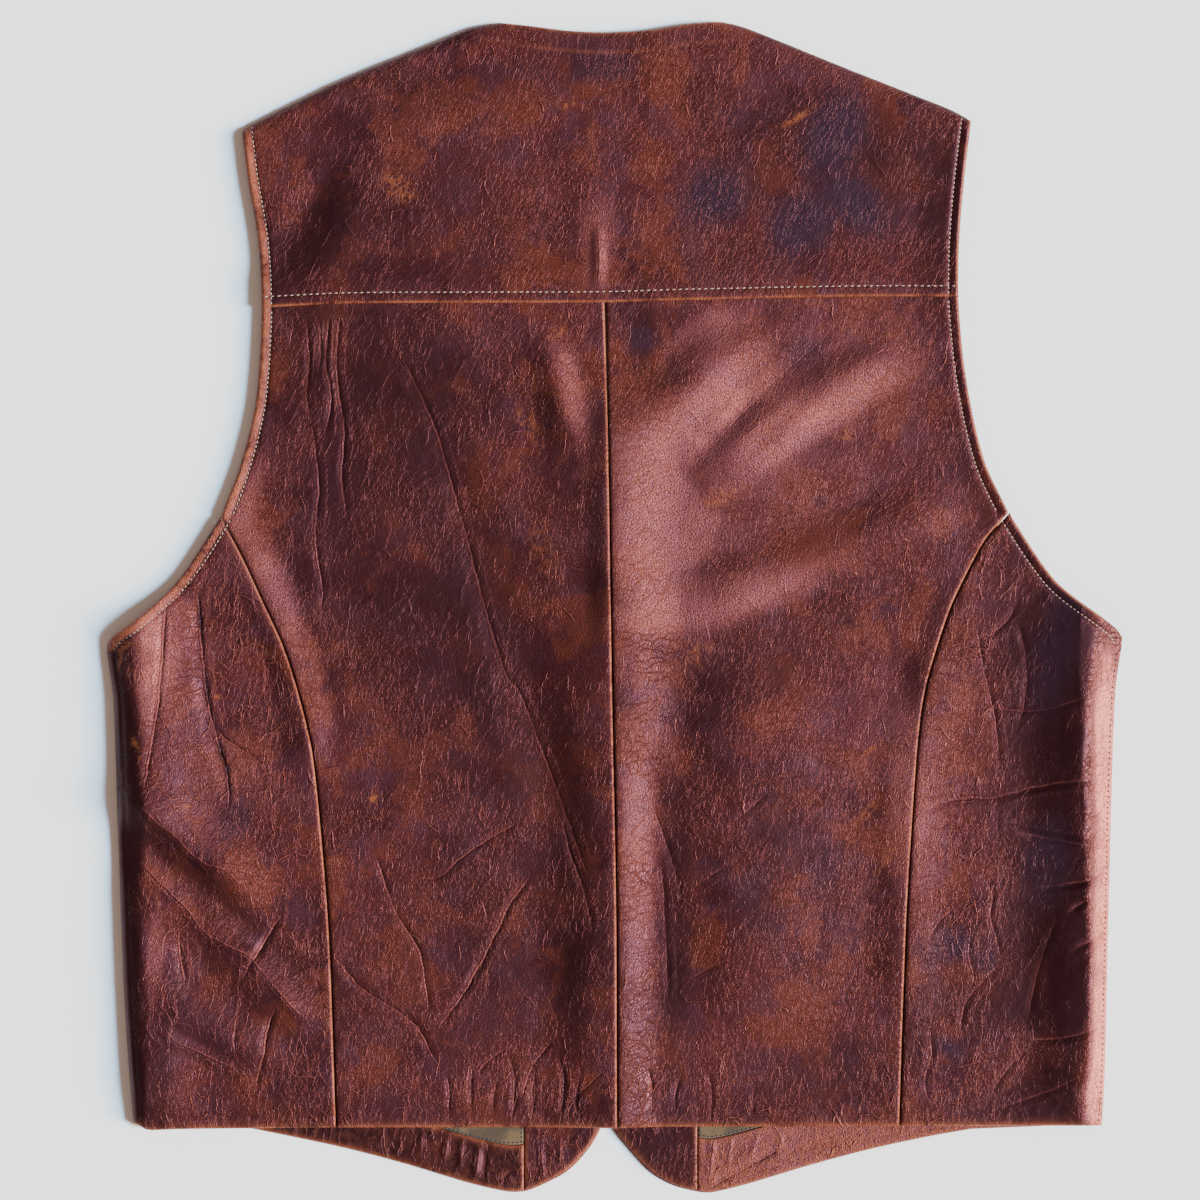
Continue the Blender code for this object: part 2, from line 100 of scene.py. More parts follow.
FRONT_TIP = [
    Pair(-7.7, -295.0, -1.4, -295.0),
    Pair(-14.0, -306.9, 8.8, -309.2),
    Pair(-25.4, -319.5, 20.2, -321.2),
    Pair(-36.8, -326.3, 31.6, -328.0),
    Pair(-50.0, -331.8, 43.0, -331.5),
    Pair(-60.5, -332.4, 54.4, -332.9),
    Pair(-82.4, -327.5, 77.2, -327.5),
    Pair(-116.6, -317.2, 111.4, -317.2),
    Pair(-150.8, -308.1, 145.6, -308.1),
    Pair(-185.0, -300.7, 179.8, -300.7),
    Pair(-207.8, -296.1, 202.6, -296.7),
]
SHOULDER_LEFT = [
    (-211.8, 271.6), (-200.9, 277.3), (-154.2, 300.1), (-97.8, 322.9), (-80.7, 329.7), (-67.0, 332.3),
]
NECK = [
    (-67.0, 332.3), (-48.2, 330.3), (-25.4, 327.5), (-5.4, 326.6), (20.2, 328.0), (43.0, 331.5),
    (61.3, 332.9),
]
SHOULDER_RIGHT = [(61.3, 332.9), (74.4, 329.7), (133.7, 305.8), (191.2, 283.0), (202.6, 276.7)]
CENTRE_SEAM = [(-5.9, 182.0), (-3.7, 94.9), (-1.4, -47.6), (0.9, -167.3), (1.4, -295.0)]
YOKE_SEAM = [
    (-200.4, 170.1), (-153.6, 172.4), (-82.4, 172.8), (-6.6, 173.1), (37.3, 174.4), (139.9, 176.4),
    (195.2, 176.4),
]
# The hem's left corner is notched where the side seam's allowance ends
HEM = [
    (-273.4, -293.0), (-270.6, -293.6), (-267.0, -295.9), (-263.0, -296.7), (-250.0, -296.2),
    (-158.2, -295.3), (1.4, -295.0), (161.6, -294.4), (277.0, -294.2),
]
print("points on each armhole:", len(ARMHOLE), "and on the hem:", len(HEM))

# %% [markdown]
# ## Curves through the pattern points
#
# A pattern line runs smoothly through its points. Blender has Bezier curves for this, but every panel also
# needs to know how far each of its vertices lies from each line, so the lines are kept as arrays. A Hermite
# curve through the points gives the same smooth line, and a distance function measures from it in plan.

# %% Curve helpers
CURVE_STEP = 3.0
LINE_TOLERANCE = 0.04
DISTANCE_BLOCK = 6000


def side_points(table, side):
    """One side's points of a table whose rows hold a left and a right point."""
    return np.array([(getattr(row, side + "_x"), getattr(row, side + "_y")) for row in table])


def smooth_curve(knots):
    """Points about CURVE_STEP apart on a smooth curve through the knots."""
    knots = np.array(knots, float)
    padded = np.vstack([2.0 * knots[0] - knots[1], knots, 2.0 * knots[-1] - knots[-2]])
    pieces = []
    for index in range(len(knots) - 1):
        p0, p1, p2, p3 = padded[index:index + 4]
        span = np.linalg.norm(p2 - p1)
        count = max(2, int(np.ceil(span / CURVE_STEP)))
        t = np.linspace(0.0, 1.0, count, endpoint=False)[:, None]
        slope1 = 0.5 * (p2 - p0) * min(1.0, span / np.linalg.norm(p1 - p0))
        slope2 = 0.5 * (p3 - p1) * min(1.0, span / np.linalg.norm(p3 - p2))
        pieces.append(
            (2 * t**3 - 3 * t**2 + 1) * p1
            + (t**3 - 2 * t**2 + t) * slope1
            + (3 * t**2 - 2 * t**3) * p2
            + (t**3 - t**2) * slope2
        )
    pieces.append(knots[-1:])
    return np.vstack(pieces)


def distance_in_blocks(points, curve):
    """Distance in plan from each point to a polyline."""
    start = curve[:-1]
    step = curve[1:] - start
    length_squared = (step * step).sum(-1)
    result = np.empty(len(points))
    for first in range(0, len(points), DISTANCE_BLOCK):
        offset = points[first:first + DISTANCE_BLOCK, None, :] - start[None, :, :]
        share = np.clip((offset * step).sum(-1) / length_squared, 0.0, 1.0)
        apart = np.linalg.norm(offset - share[..., None] * step, axis=-1)
        result[first:first + DISTANCE_BLOCK] = apart.min(axis=1)
    return result


def fewest_points(curve, tolerance=LINE_TOLERANCE):
    """The points of a curve that keep it within a tolerance of its course."""
    if len(curve) < 3:
        return curve
    chord = curve[[0, -1]]
    off = distance_in_blocks(curve, chord)
    split = int(off.argmax())
    if off[split] < tolerance:
        return chord
    first = fewest_points(curve[:split + 1], tolerance)
    return np.vstack([first[:-1], fewest_points(curve[split:], tolerance)])


def distance_to(points, curves):
    """Distance in plan from each point to the nearest of some curves."""
    return np.min([distance_in_blocks(points, fewest_points(curve)) for curve in curves], axis=0)


def ease(value):
    """Smooth step from 0 to 1."""
    value = np.clip(value, 0.0, 1.0)
    return value * value * (3.0 - 2.0 * value)


SIDES = ("left", "right")
SIGN = {"left": -1.0, "right": 1.0}
yoke_line = smooth_curve(YOKE_SEAM)
hem_line = smooth_curve(HEM)
centre_line = smooth_curve(CENTRE_SEAM)
neck_line = smooth_curve(NECK)
shoulder_line = {"left": smooth_curve(SHOULDER_LEFT), "right": smooth_curve(SHOULDER_RIGHT)}
side_line = {side: smooth_curve(side_points(SIDE, side)) for side in SIDES}
princess_line = {side: smooth_curve(side_points(PRINCESS, side)) for side in SIDES}
armhole_line = {side: smooth_curve(side_points(ARMHOLE, side)) for side in SIDES}
upper_armhole = {side: smooth_curve(side_points(ARMHOLE, side)[:ARMHOLE_AT_SEAM + 1]) for side in SIDES}
lower_armhole = {side: smooth_curve(side_points(ARMHOLE, side)[ARMHOLE_AT_SEAM:]) for side in SIDES}
armhole_steps = np.linalg.norm(np.diff(armhole_line["left"], axis=0), axis=1)
print("left armhole runs", round(float(armhole_steps.sum())), "mm")

# %% [markdown]
# ## Folds and creases
#
# Leather laid on a table keeps soft rolls from being worn, and crisp creases where it was bent hard. Cloth
# simulation gives neither in the right place, so both are laid out one by one from the photograph. A fold is a
# smooth bell across its run and fades at its ends. A crease is narrower and follows a path of several points
# that run down the vest, and the widest ones, the crests of the side rolls, come to a sharp line. Each row
# has its half widths on the left and right as seen along the run, and its height, which is below zero for a
# trough. A crease's flank shading, its second number, is how strongly its flanks are painted on the leather:
# a painted highlight on the flank that meets the light, and painted shade on the other one.

# %% Tables of folds and creases, in millimetres
Fold = namedtuple("Fold", "x0 y0 x1 y1 bow left right height")
Crease = namedtuple("Crease", "height pull left right path")
SOFT_CREASE = (-0.35, 0.3, 3.0, 3.0)
FAINT_CREASE = (-0.3, 0.25, 3.0, 3.0)
FAINTEST_CREASE = (-0.25, 0.25, 3.0, 3.0)

FOLDS = [
    # Long ridge under the centre seam and the hollow beyond it
    Fold(1.0, -345.0, -0.5, -60.0, 0.0, 46.0, 27.0, 5.4),
    Fold(-0.5, -105.0, -3.5, 138.0, 0.0, 50.0, 42.0, 6.8),
    Fold(-1.0, -42.0, -3.0, 132.0, 0.0, 16.0, 70.0, 2.8),
    Fold(74.0, -250.0, 74.0, -24.0, 0.0, 40.0, 74.0, 3.8),
    # Diagonal drag lines towards the right armhole
    Fold(8.0, 92.0, 96.0, 178.0, 3.0, 22.0, 24.0, 5.0),
    Fold(42.0, 66.0, 172.0, 152.0, 4.0, 20.0, 22.0, 5.2),
    Fold(34.0, -8.0, 204.0, 62.0, 4.0, 25.0, 22.0, 4.2),
    # Hollow along the soft crease of the left centre panel
    Fold(-104.0, 106.0, -17.0, -161.0, 5.0, 22.0, 30.0, -1.3),
    # Crests along the two princess seams
    Fold(-222.0, 62.0, -170.0, -110.0, 9.0, 20.0, 16.0, 2.8),
    Fold(188.0, -6.0, 163.0, -250.0, -7.0, 28.0, 24.0, 2.2),
    # Rolls inside both side edges
    Fold(-268.0, 25.0, -266.0, -150.0, 0.0, 42.0, 26.0, 6.8),
    Fold(-266.0, -120.0, -263.0, -310.0, 0.0, 34.0, 26.0, 4.4),
    Fold(268.0, 25.0, 266.0, -300.0, 0.0, 26.0, 36.0, 4.8),
    # Slanting folds of the left side panel
    Fold(-290.0, -94.0, -190.0, -175.0, 0.0, 24.0, 20.0, 5.4),
    Fold(-256.0, -158.0, -160.0, -246.0, 0.0, 18.0, 20.0, 4.0),
    Fold(-272.0, -213.0, -176.0, -268.0, 0.0, 18.0, 16.0, 2.9),
    # Hollow across the left end of the yoke
    Fold(-156.0, 262.0, -192.0, 188.0, 0.0, 20.0, 16.0, -1.6),
    # Softer swells that only the finer surface can hold
    Fold(-42.0, 172.0, -22.0, 76.0, 0.0, 15.0, 16.0, 3.6),
    Fold(-20.0, 60.0, -14.0, -40.0, 0.0, 18.0, 22.0, -1.0),
    Fold(60.0, 72.0, 126.0, 132.0, 2.0, 9.0, 9.0, -1.2),
]
CREASES = [
    # Left side panel, with the sharp crest of its roll first
    Crease(0.6, 0.0, 9.5, 12.0, (
        (-271.0, -40.0), (-268.0, -80.0), (-266.0, -120.0), (-268.0, -150.0), (-268.5, -190.0),
        (-265.0, -222.0), (-266.0, -262.0), (-268.0, -310.0))),
    Crease(-0.8, 0.8, 2.2, 5.0, (
        (-254.5, 3.7), (-255.6, -19.1), (-258.5, -54.4), (-263.0, -81.8), (-266.5, -104.0))),
    Crease(-1.2, 0.9, 2.2, 9.0, (
        (-236.8, 10.5), (-234.6, -19.0), (-231.7, -47.6), (-228.3, -65.3), (-223.2, -83.0), (-219.7, -96.0),
        (-219.2, -117.0))),
    Crease(-0.5, 0.6, 2.5, 4.0, ((-229.4, -65.8), (-220.3, -75.0), (-207.8, -83.0), (-197.5, -91.0))),
    Crease(0.8, 0.5, 10.0, 5.0, (
        (-271.6, -109.0), (-259.1, -121.7), (-249.5, -129.1), (-241.0, -138.8), (-231.7, -145.5),
        (-222.0, -148.3), (-208.9, -159.7))),
    Crease(0.9, 0.7, 6.0, 5.0, (
        (-270.5, -143.5), (-258.1, -155.9), (-242.9, -171.1), (-231.5, -185.4), (-208.9, -196.8),
        (-201.1, -205.3), (-191.8, -216.7), (-176.4, -233.8))),
    Crease(0.7, 0.5, 6.0, 5.0, (
        (-259.0, -234.6), (-249.5, -246.0), (-239.1, -250.9), (-227.7, -256.6), (-216.3, -262.3),
        (-206.8, -273.7))),
    Crease(-0.8, 0.8, 3.0, 4.0, (
        (-187.8, -171.9), (-195.4, -184.4), (-203.2, -197.5), (-207.8, -204.3), (-213.5, -214.6))),
    Crease(-0.5, 0.6, 3.0, 4.0, ((-247.7, -178.7), (-246.7, -193.9), (-244.8, -207.2), (-243.1, -216.7))),
    Crease(-0.7, 0.8, 3.0, 4.0, (
        (-191.8, -224.3), (-197.5, -241.4), (-199.2, -252.8), (-202.1, -264.2), (-204.0, -275.6))),
    Crease(-0.5, 0.6, 3.0, 3.0, ((-214.6, -234.0), (-216.3, -245.4), (-213.5, -258.5))),
    # Left centre panel
    Crease(-0.35, 0.4, 2.5, 8.0, (
        (-119.4, 140.5), (-101.2, 100.6), (-96.0, 82.4), (-83.5, 37.9), (-72.7, -3.7), (-61.3, -39.0),
        (-53.9, -48.7), (-36.0, -95.0), (-14.0, -155.9))),
    Crease(-0.4, 0.7, 3.0, 3.0, (
        (-52.2, -120.6), (-71.0, -131.2), (-86.4, -141.6), (-99.5, -153.0), (-114.9, -154.8))),
    Crease(-0.7, 0.9, 3.0, 4.0, (
        (-46.5, -151.2), (-58.6, -167.3), (-67.1, -184.4), (-76.7, -203.2), (-88.1, -222.4),
        (-101.4, -240.3))),
    Crease(-0.6, 0.6, 4.0, 4.0, (
        (-159.3, -197.5), (-145.1, -214.6), (-128.0, -226.0), (-112.7, -237.4), (-105.2, -250.9),
        (-98.5, -262.3))),
    Crease(-0.4, 0.5, 3.0, 3.0, ((-136.5, -138.8), (-124.2, -173.0), (-110.9, -195.8), (-105.2, -231.7))),
    Crease(-0.4, 0.6, 2.5, 2.5, ((-59.6, -248.8), (-72.0, -258.0), (-82.4, -268.8))),
    Crease(-0.5, 0.6, 2.5, 3.0, ((-33.0, -243.0), (-46.5, -260.0), (-53.9, -281.3))),
    Crease(-0.5, 0.6, 2.5, 3.0, ((-3.7, -260.0), (-21.5, -277.3), (-29.4, -292.7))),
    Crease(-0.5, 0.5, 3.0, 4.0, ((-31.1, -116.0), (-25.4, -138.8), (-18.0, -159.7), (-12.3, -186.1))),
    Crease(-0.5, 0.5, 2.0, 3.0, ((-175.0, 166.0), (-173.5, 140.0), (-175.0, 120.0), (-172.0, 104.0))),
    Crease(-0.4, 0.5, 2.0, 3.0, ((-169.0, 166.0), (-167.0, 150.0), (-168.0, 130.0))),
    Crease(-0.5, 0.6, 2.0, 3.0, ((-162.0, 167.0), (-164.0, 140.0), (-161.0, 118.0), (-165.0, 95.0))),
    Crease(-0.5, 0.6, 2.0, 3.0, (
        (-156.0, 167.0), (-158.0, 135.0), (-153.5, 100.0), (-155.0, 75.0), (-152.0, 50.0))),
    Crease(-0.4, 0.5, 2.0, 3.0, (
        (-172.0, 104.0), (-168.0, 70.0), (-170.0, 40.0), (-166.0, 10.0), (-168.0, -10.0))),
    # Right centre panel
    Crease(-0.7, 0.2, 7.0, 10.0, (
        (124.0, 157.0), (106.0, 142.0), (90.0, 128.0), (72.0, 110.0), (54.0, 90.0), (40.0, 77.0))),
    Crease(*FAINT_CREASE, ((19.0, -107.0), (27.0, -128.0), (32.0, -143.0), (38.0, -166.0))),
    Crease(*FAINT_CREASE, ((26.0, -143.0), (29.0, -185.0), (30.0, -226.0))),
    Crease(*FAINTEST_CREASE, ((69.0, -145.0), (54.0, -152.0), (38.0, -166.0))),
    Crease(*FAINTEST_CREASE, ((89.0, -102.0), (76.0, -114.0), (61.0, -127.0))),
    Crease(*FAINTEST_CREASE, ((113.0, -94.0), (90.0, -97.0), (68.0, -103.0))),
    Crease(*FAINTEST_CREASE, ((74.0, -197.0), (57.0, -203.0), (40.0, -212.0))),
    # Right side panel, with the sharp crest of its roll first
    Crease(0.8, 0.0, 12.0, 14.0, (
        (268.0, 25.0), (264.0, -10.0), (263.5, -36.0), (265.5, -62.0), (264.0, -90.0), (267.5, -112.0),
        (265.0, -132.0), (270.0, -150.0), (268.0, -170.0), (271.0, -190.0), (269.0, -215.0), (271.0, -236.0),
        (268.0, -262.0), (264.0, -310.0))),
    Crease(*SOFT_CREASE, ((231.0, 7.0), (222.0, -8.0), (208.0, -19.0), (187.0, -27.0))),
    Crease(*SOFT_CREASE, ((205.0, -8.0), (209.0, -33.0), (215.0, -60.0), (219.0, -91.0))),
    Crease(*FAINT_CREASE, ((228.0, -6.0), (233.0, -28.0), (233.0, -50.0), (228.0, -71.0))),
    Crease(*SOFT_CREASE, (
        (269.0, -50.0), (250.0, -57.0), (233.0, -59.0), (210.0, -57.0), (189.0, -59.0))),
    Crease(-1.0, 0.4, 3.5, 3.5, (
        (277.0, -97.0), (240.6, -101.7), (214.0, -108.4), (193.0, -109.2), (171.3, -117.0))),
    Crease(-0.4, 0.35, 3.0, 3.0, ((271.0, -14.0), (275.0, -32.0), (276.0, -50.0))),
    Crease(-1.2, 0.4, 4.0, 4.0, ((226.0, -127.0), (255.0, -132.0), (279.0, -136.0))),
    Crease(-1.2, 0.4, 4.0, 4.0, ((280.0, -151.0), (262.0, -156.0), (237.0, -160.0))),
    Crease(-0.9, 0.45, 3.0, 3.0, ((272.0, -165.0), (264.0, -168.0), (255.7, -174.0))),
    Crease(-1.1, 0.4, 3.5, 3.5, ((279.0, -185.0), (271.0, -188.0), (256.0, -196.0))),
    Crease(-0.9, 0.5, 4.0, 4.0, (
        (277.0, -238.0), (271.0, -239.5), (259.6, -243.0), (246.3, -245.2), (232.8, -245.2))),
    Crease(*FAINT_CREASE, ((219.7, -110.3), (217.0, -122.0), (218.6, -134.8))),
    Crease(*SOFT_CREASE, (
        (205.5, -148.3), (214.0, -161.6), (212.9, -174.7), (217.9, -193.9), (215.7, -201.5))),
    Crease(*SOFT_CREASE, ((202.6, -180.4), (200.8, -197.5), (203.6, -211.0), (197.9, -222.4))),
    Crease(*SOFT_CREASE, ((195.1, -169.0), (183.7, -178.7), (175.1, -191.8))),
    Crease(*SOFT_CREASE, ((251.1, -174.7), (242.5, -197.5), (236.8, -220.3), (234.0, -237.4))),
    Crease(*SOFT_CREASE, ((221.4, -199.6), (208.3, -212.9), (198.6, -226.0), (195.1, -245.2))),
    Crease(*SOFT_CREASE, ((269.2, -263.0), (248.2, -273.7), (227.0, -281.3), (210.0, -287.0))),
    Crease(*SOFT_CREASE, ((175.8, -230.0), (179.8, -250.9), (175.8, -269.9), (181.5, -287.0))),
    Crease(*SOFT_CREASE, ((236.8, -248.8), (219.7, -265.9), (208.3, -287.0))),
    # Upright wrinkles above the hem
    Crease(-0.6, 0.35, 2.5, 2.5, ((-96.0, -262.0), (-94.0, -276.0), (-95.0, -292.0))),
    Crease(-0.7, 0.35, 2.5, 3.0, ((-80.0, -256.0), (-82.0, -272.0), (-81.0, -292.0))),
    Crease(-0.6, 0.35, 2.5, 2.5, ((-66.0, -264.0), (-69.0, -278.0), (-70.0, -292.0))),
    Crease(-0.8, 0.35, 3.0, 3.0, ((-60.0, -252.0), (-57.0, -270.0), (-58.5, -292.0))),
    Crease(-0.7, 0.35, 2.5, 3.0, ((-44.0, -258.0), (-47.0, -275.0), (-46.0, -292.0))),
    Crease(-0.8, 0.35, 3.0, 3.0, ((-33.0, -250.0), (-29.0, -268.0), (-31.0, -292.0))),
    Crease(-0.6, 0.35, 2.5, 2.5, ((-19.0, -262.0), (-22.0, -277.0), (-21.0, -292.0))),
    Crease(-0.6, 0.30, 2.5, 2.5, ((18.0, -258.0), (21.0, -274.0), (20.0, -292.0))),
    Crease(-0.5, 0.30, 2.5, 2.5, ((38.0, -264.0), (34.0, -278.0), (35.5, -292.0))),
    Crease(-0.6, 0.30, 2.5, 2.5, ((52.0, -260.0), (55.0, -276.0), (54.0, -292.0))),
    Crease(-0.5, 0.30, 2.5, 2.5, ((81.0, -266.0), (78.0, -280.0), (79.0, -292.0))),
    # Tips of the fronts
    Crease(0.5, 0.35, 2.6, 3.6, ((-77.0, -300.0), (-78.0, -314.0), (-80.5, -329.0))),
    Crease(-0.6, 0.20, 2.6, 3.2, ((-72.0, -300.0), (-73.5, -314.0), (-75.0, -330.0))),
    Crease(0.5, 0.35, 2.6, 3.2, ((-85.0, -296.0), (-87.0, -308.0), (-88.0, -324.0))),
    Crease(0.6, 0.35, 2.4, 3.2, ((-94.0, -296.0), (-96.5, -310.0), (-98.0, -322.0))),
    Crease(0.6, 0.30, 2.4, 3.0, ((-108.0, -294.0), (-110.0, -304.0), (-111.0, -316.0))),
    Crease(-0.5, 0.30, 2.6, 2.6, ((-56.0, -317.0), (-61.0, -322.0), (-67.0, -326.0))),
    Crease(0.7, 0.35, 3.0, 3.0, ((-43.0, -300.0), (-41.5, -315.0), (-40.0, -330.0))),
    Crease(0.5, 0.35, 2.6, 3.0, ((-32.0, -296.0), (-31.0, -306.0), (-32.0, -318.0))),
    Crease(-0.6, 0.50, 2.6, 2.6, (
        (100.0, -306.0), (88.0, -311.0), (75.0, -318.0), (62.0, -325.0), (51.0, -331.0))),
    Crease(0.7, 0.45, 3.0, 3.4, ((57.0, -297.0), (55.0, -312.0), (52.5, -329.0))),
    Crease(0.6, 0.45, 2.8, 3.2, ((67.0, -297.0), (65.0, -309.0), (63.5, -322.0))),
    Crease(0.6, 0.40, 2.6, 3.0, ((82.0, -297.0), (79.0, -306.0), (77.0, -316.0))),
    Crease(0.5, 0.40, 2.6, 3.0, ((97.0, -295.0), (94.0, -303.0), (93.0, -312.0))),
    # Yoke
    Crease(1.4, 0.3, 6.0, 6.0, ((-10.0, 222.0), (-9.0, 198.0), (-10.0, 176.0))),
]
print("folds:", len(FOLDS), "creases:", len(CREASES))

# %% Heights of folds and creases
FADE_LENGTH = 45.0
LONGEST_FADE = 0.45
YOKE_LAP = 9.0
FLAT_LAP_ZONE = 26.0
CREASE_REACH = 5.0
CREASE_FADE = 12.0
UNEVEN = 0.3
UNEVEN_STEP = 6.5
SHARP_WIDTH = 9.0


def across(points, row):
    """Share along a fold's run, and the place beside it as a share of its half width."""
    start = np.array([row.x0, row.y0])
    run = np.array([row.x1, row.y1]) - start
    length = np.linalg.norm(run)
    forward = run / length
    leftward = np.array([-forward[1], forward[0]])
    share = (points - start) @ forward / length
    sideways = (points - start) @ leftward - row.bow * 4.0 * share * (1.0 - share)
    width = np.where(sideways > 0.0, row.left, row.right)
    return share, np.clip(np.abs(sideways) / width, 0.0, 1.0)


def fading(share, row):
    """Factor that fades a fold at both ends of its run."""
    length = math.hypot(row.x1 - row.x0, row.y1 - row.y0)
    fade = min(LONGEST_FADE, FADE_LENGTH / length)
    return ease(share / fade) * ease((1.0 - share) / fade)


def seam_height(x):
    """Y of the yoke's lower edge at each x."""
    return np.interp(x, yoke_line[:, 0], yoke_line[:, 1])


def fold_height(points):
    """Sum of the soft folds, fading to nothing beside the yoke lap."""
    total = np.zeros(len(points))
    for row in FOLDS:
        share, off = across(points, row)
        bell = 0.5 + 0.5 * np.cos(np.pi * off)
        total += row.height * bell * fading(share, row)
    beside_lap = np.abs(points[:, 1] - seam_height(points[:, 0]))
    return total * ease((beside_lap - YOKE_LAP) / FLAT_LAP_ZONE)


def beside_path(points, path):
    """Run along a path, the path's length, and the place beside it, above zero on its left."""
    curve = fewest_points(smooth_curve(path))
    step = np.diff(curve, axis=0)
    length = np.linalg.norm(step, axis=1)
    offset = points[:, None, :] - curve[:-1]
    share = np.clip((offset * step).sum(-1) / length**2, 0.0, 1.0)
    away = offset - share[..., None] * step
    nearest = np.linalg.norm(away, axis=-1).argmin(axis=1)
    chosen = np.arange(len(points)), nearest
    away, step_there = away[chosen], step[nearest]
    turn = step_there[:, 0] * away[:, 1] - step_there[:, 1] * away[:, 0]
    run = (np.cumsum(length) - length)[nearest] + share[chosen] * length[nearest]
    return run, length.sum(), np.copysign(np.linalg.norm(away, axis=1), turn)


def crease_height(points):
    """Sum of the creases, how strongly the nearest one's flanks are painted, and the place beside it, lit side
    above zero.
    """
    total = np.zeros(len(points))
    pull = np.zeros(len(points))
    beside = np.full(len(points), CREASE_REACH)
    for number, row in enumerate(CREASES):
        path = np.array(row.path)
        reach = max(row.left, row.right, CREASE_REACH)
        close = (points > path.min(axis=0) - reach) & (points < path.max(axis=0) + reach)
        near = np.flatnonzero(close.all(axis=1))
        if not len(near):
            continue
        run, length, sideways = beside_path(points[near], path)
        fade = min(CREASE_FADE, LONGEST_FADE * length)
        ends = ease(run / fade) * ease((length - run) / fade)
        ends *= 1.0 - UNEVEN * np.sin(run / UNEVEN_STEP + number)
        off = np.clip(np.abs(sideways) / np.where(sideways > 0.0, row.left, row.right), 0.0, 1.0)
        bell = (1.0 - off)**2 if min(row.left, row.right) > SHARP_WIDTH else ease(1.0 - off)
        total[near] += row.height * bell * ends
        nearer = (row.pull > 0.0) & (ends > 0.0) & (np.abs(sideways) < np.abs(beside[near]))
        shown = near[nearer]
        pull[shown] = row.pull * ends[nearer]
        beside[shown] = sideways[nearer] * math.copysign(1.0, row.height)
    return total, pull, beside


RIDGE_PLACE = np.array([[0.0, 40.0]])
print("the centre ridge stands", round(float(fold_height(RIDGE_PLACE)[0]), 1), "mm over the back")

# %% [markdown]
# ## Sewn edges
#
# Each edge of the vest is finished in its own way. The armholes are turned and stitched, which leaves a
# rounded bead outside the stitch line. The yoke's lower edge is cut and lies on the panels. The centre and
# princess seams are pressed to one side, with a lit edge on the left and a dark groove on the right. Hem and
# neck are turned without stitches. A profile gives the rise over the plain surface by distance in from the
# edge, and how orange the leather is there: mostly wear, where the wax is rubbed off and shows the orange
# leather below, and on edges that face the light, the left edges of the seams and the left armhole's bead,
# partly a painted highlight.

# %% Edge profiles, in millimetres
Edge = namedtuple("Edge", "distance rise wear")


def edge_profile(*rows):
    """Edge profile from rows of distance, rise and orange wear, partly a painted highlight on lit edges."""
    return Edge(*(list(column) for column in zip(*rows)))


TURNED_RISE = (
    (0.0, -1.2), (0.3, -0.5), (0.8, 0.15), (1.3, 0.5), (2.0, 0.55), (3.0, 0.35), (4.5, -0.05), (5.2, -0.3),
    (5.7, -0.55), (6.3, -0.1), (8.0, 0.15), (12.0, 0.0),
)
# The left bead's lit slope is orange far in, partly as a painted highlight; the right bead only at its edge
TURNED_WEAR_AND_HIGHLIGHT = {
    "left": (1.0, 1.0, 1.0, 1.0, 0.9, 0.8, 0.7, 0.2, 0.05, 0.0, 0.0, 0.0),
    "right": (1.0, 1.0, 0.9, 0.3, 0.0, 0.0, 0.0, 0.0, 0.0, 0.0, 0.0, 0.0),
}
TURNED_ARMHOLE = {
    side: edge_profile(*((*place, wear) for place, wear in zip(TURNED_RISE, TURNED_WEAR_AND_HIGHLIGHT[side])))
    for side in SIDES
}
# The lit edge of a seam is orange, from wear and partly a painted highlight; the sunk edge has almost none
SEAM_LIT = edge_profile(
    (0.0, -1.3, 1.0), (0.25, -0.7, 1.0), (0.6, -0.2, 0.85), (1.0, 0.05, 0.3), (1.6, 0.15, 0.05),
    (4.0, 0.12, 0.0), (9.0, 0.0, 0.0),
)
SEAM_SUNK = edge_profile(
    (0.0, -1.7, 0.0), (0.3, -1.3, 0.0), (0.7, -0.75, 0.0), (1.2, -0.3, 0.0), (2.2, 0.0, 0.15),
    (4.0, 0.1, 0.05), (9.0, 0.0, 0.0),
)
TURNED = edge_profile(
    (0.0, -1.2, 1.0), (0.3, -0.7, 1.0), (0.8, -0.2, 0.8), (1.5, 0.05, 0.35), (3.0, 0.12, 0.1),
    (6.0, 0.0, 0.0),
)
TURNED_NECK = edge_profile(
    (0.0, -1.2, 1.0), (0.3, -0.7, 0.9), (0.8, -0.2, 0.5), (1.5, 0.05, 0.2), (3.0, 0.12, 0.05),
    (10.0, 0.0, 0.0), (11.4, -0.15, 0.25), (13.0, 0.0, 0.0),
)
CUT_STITCHED = edge_profile(
    (0.0, -1.2, 1.0), (0.25, -0.55, 1.0), (0.6, -0.15, 1.0), (1.1, 0.0, 0.5), (1.7, 0.05, 0.05),
    (4.5, 0.12, 0.0), (5.5, -0.05, 0.0), (6.1, -0.4, 0.05), (6.7, -0.05, 0.0), (9.0, 0.08, 0.0),
    (14.0, 0.0, 0.0),
)
SIDE_STITCHED = edge_profile(
    (0.0, 0.0, 0.2), (3.0, 0.2, 0.0), (4.4, 0.0, 0.0), (5.0, -0.45, 0.0), (5.6, 0.0, 0.0),
    (8.0, 0.1, 0.0), (11.0, 0.0, 0.0),
)
STITCH_INSET = 5.7
print("the armhole's bead runs over", len(TURNED_RISE), "heights")

# %% [markdown]
# ## The resting surface of the back
#
# All five back panels lie on one another and on the fronts, so one function gives the height of the whole
# back: a resting level, the folds, the creases and the finish of the panel's own edges. At the sides and
# shoulders the leather rolls down towards the fronts, over a width that may change with Y. A fullness of two
# makes a quarter of an ellipse, more makes a squarer roll and less a flatter one. Over its lap the yoke lies
# higher, by a little more than a leather's thickness.

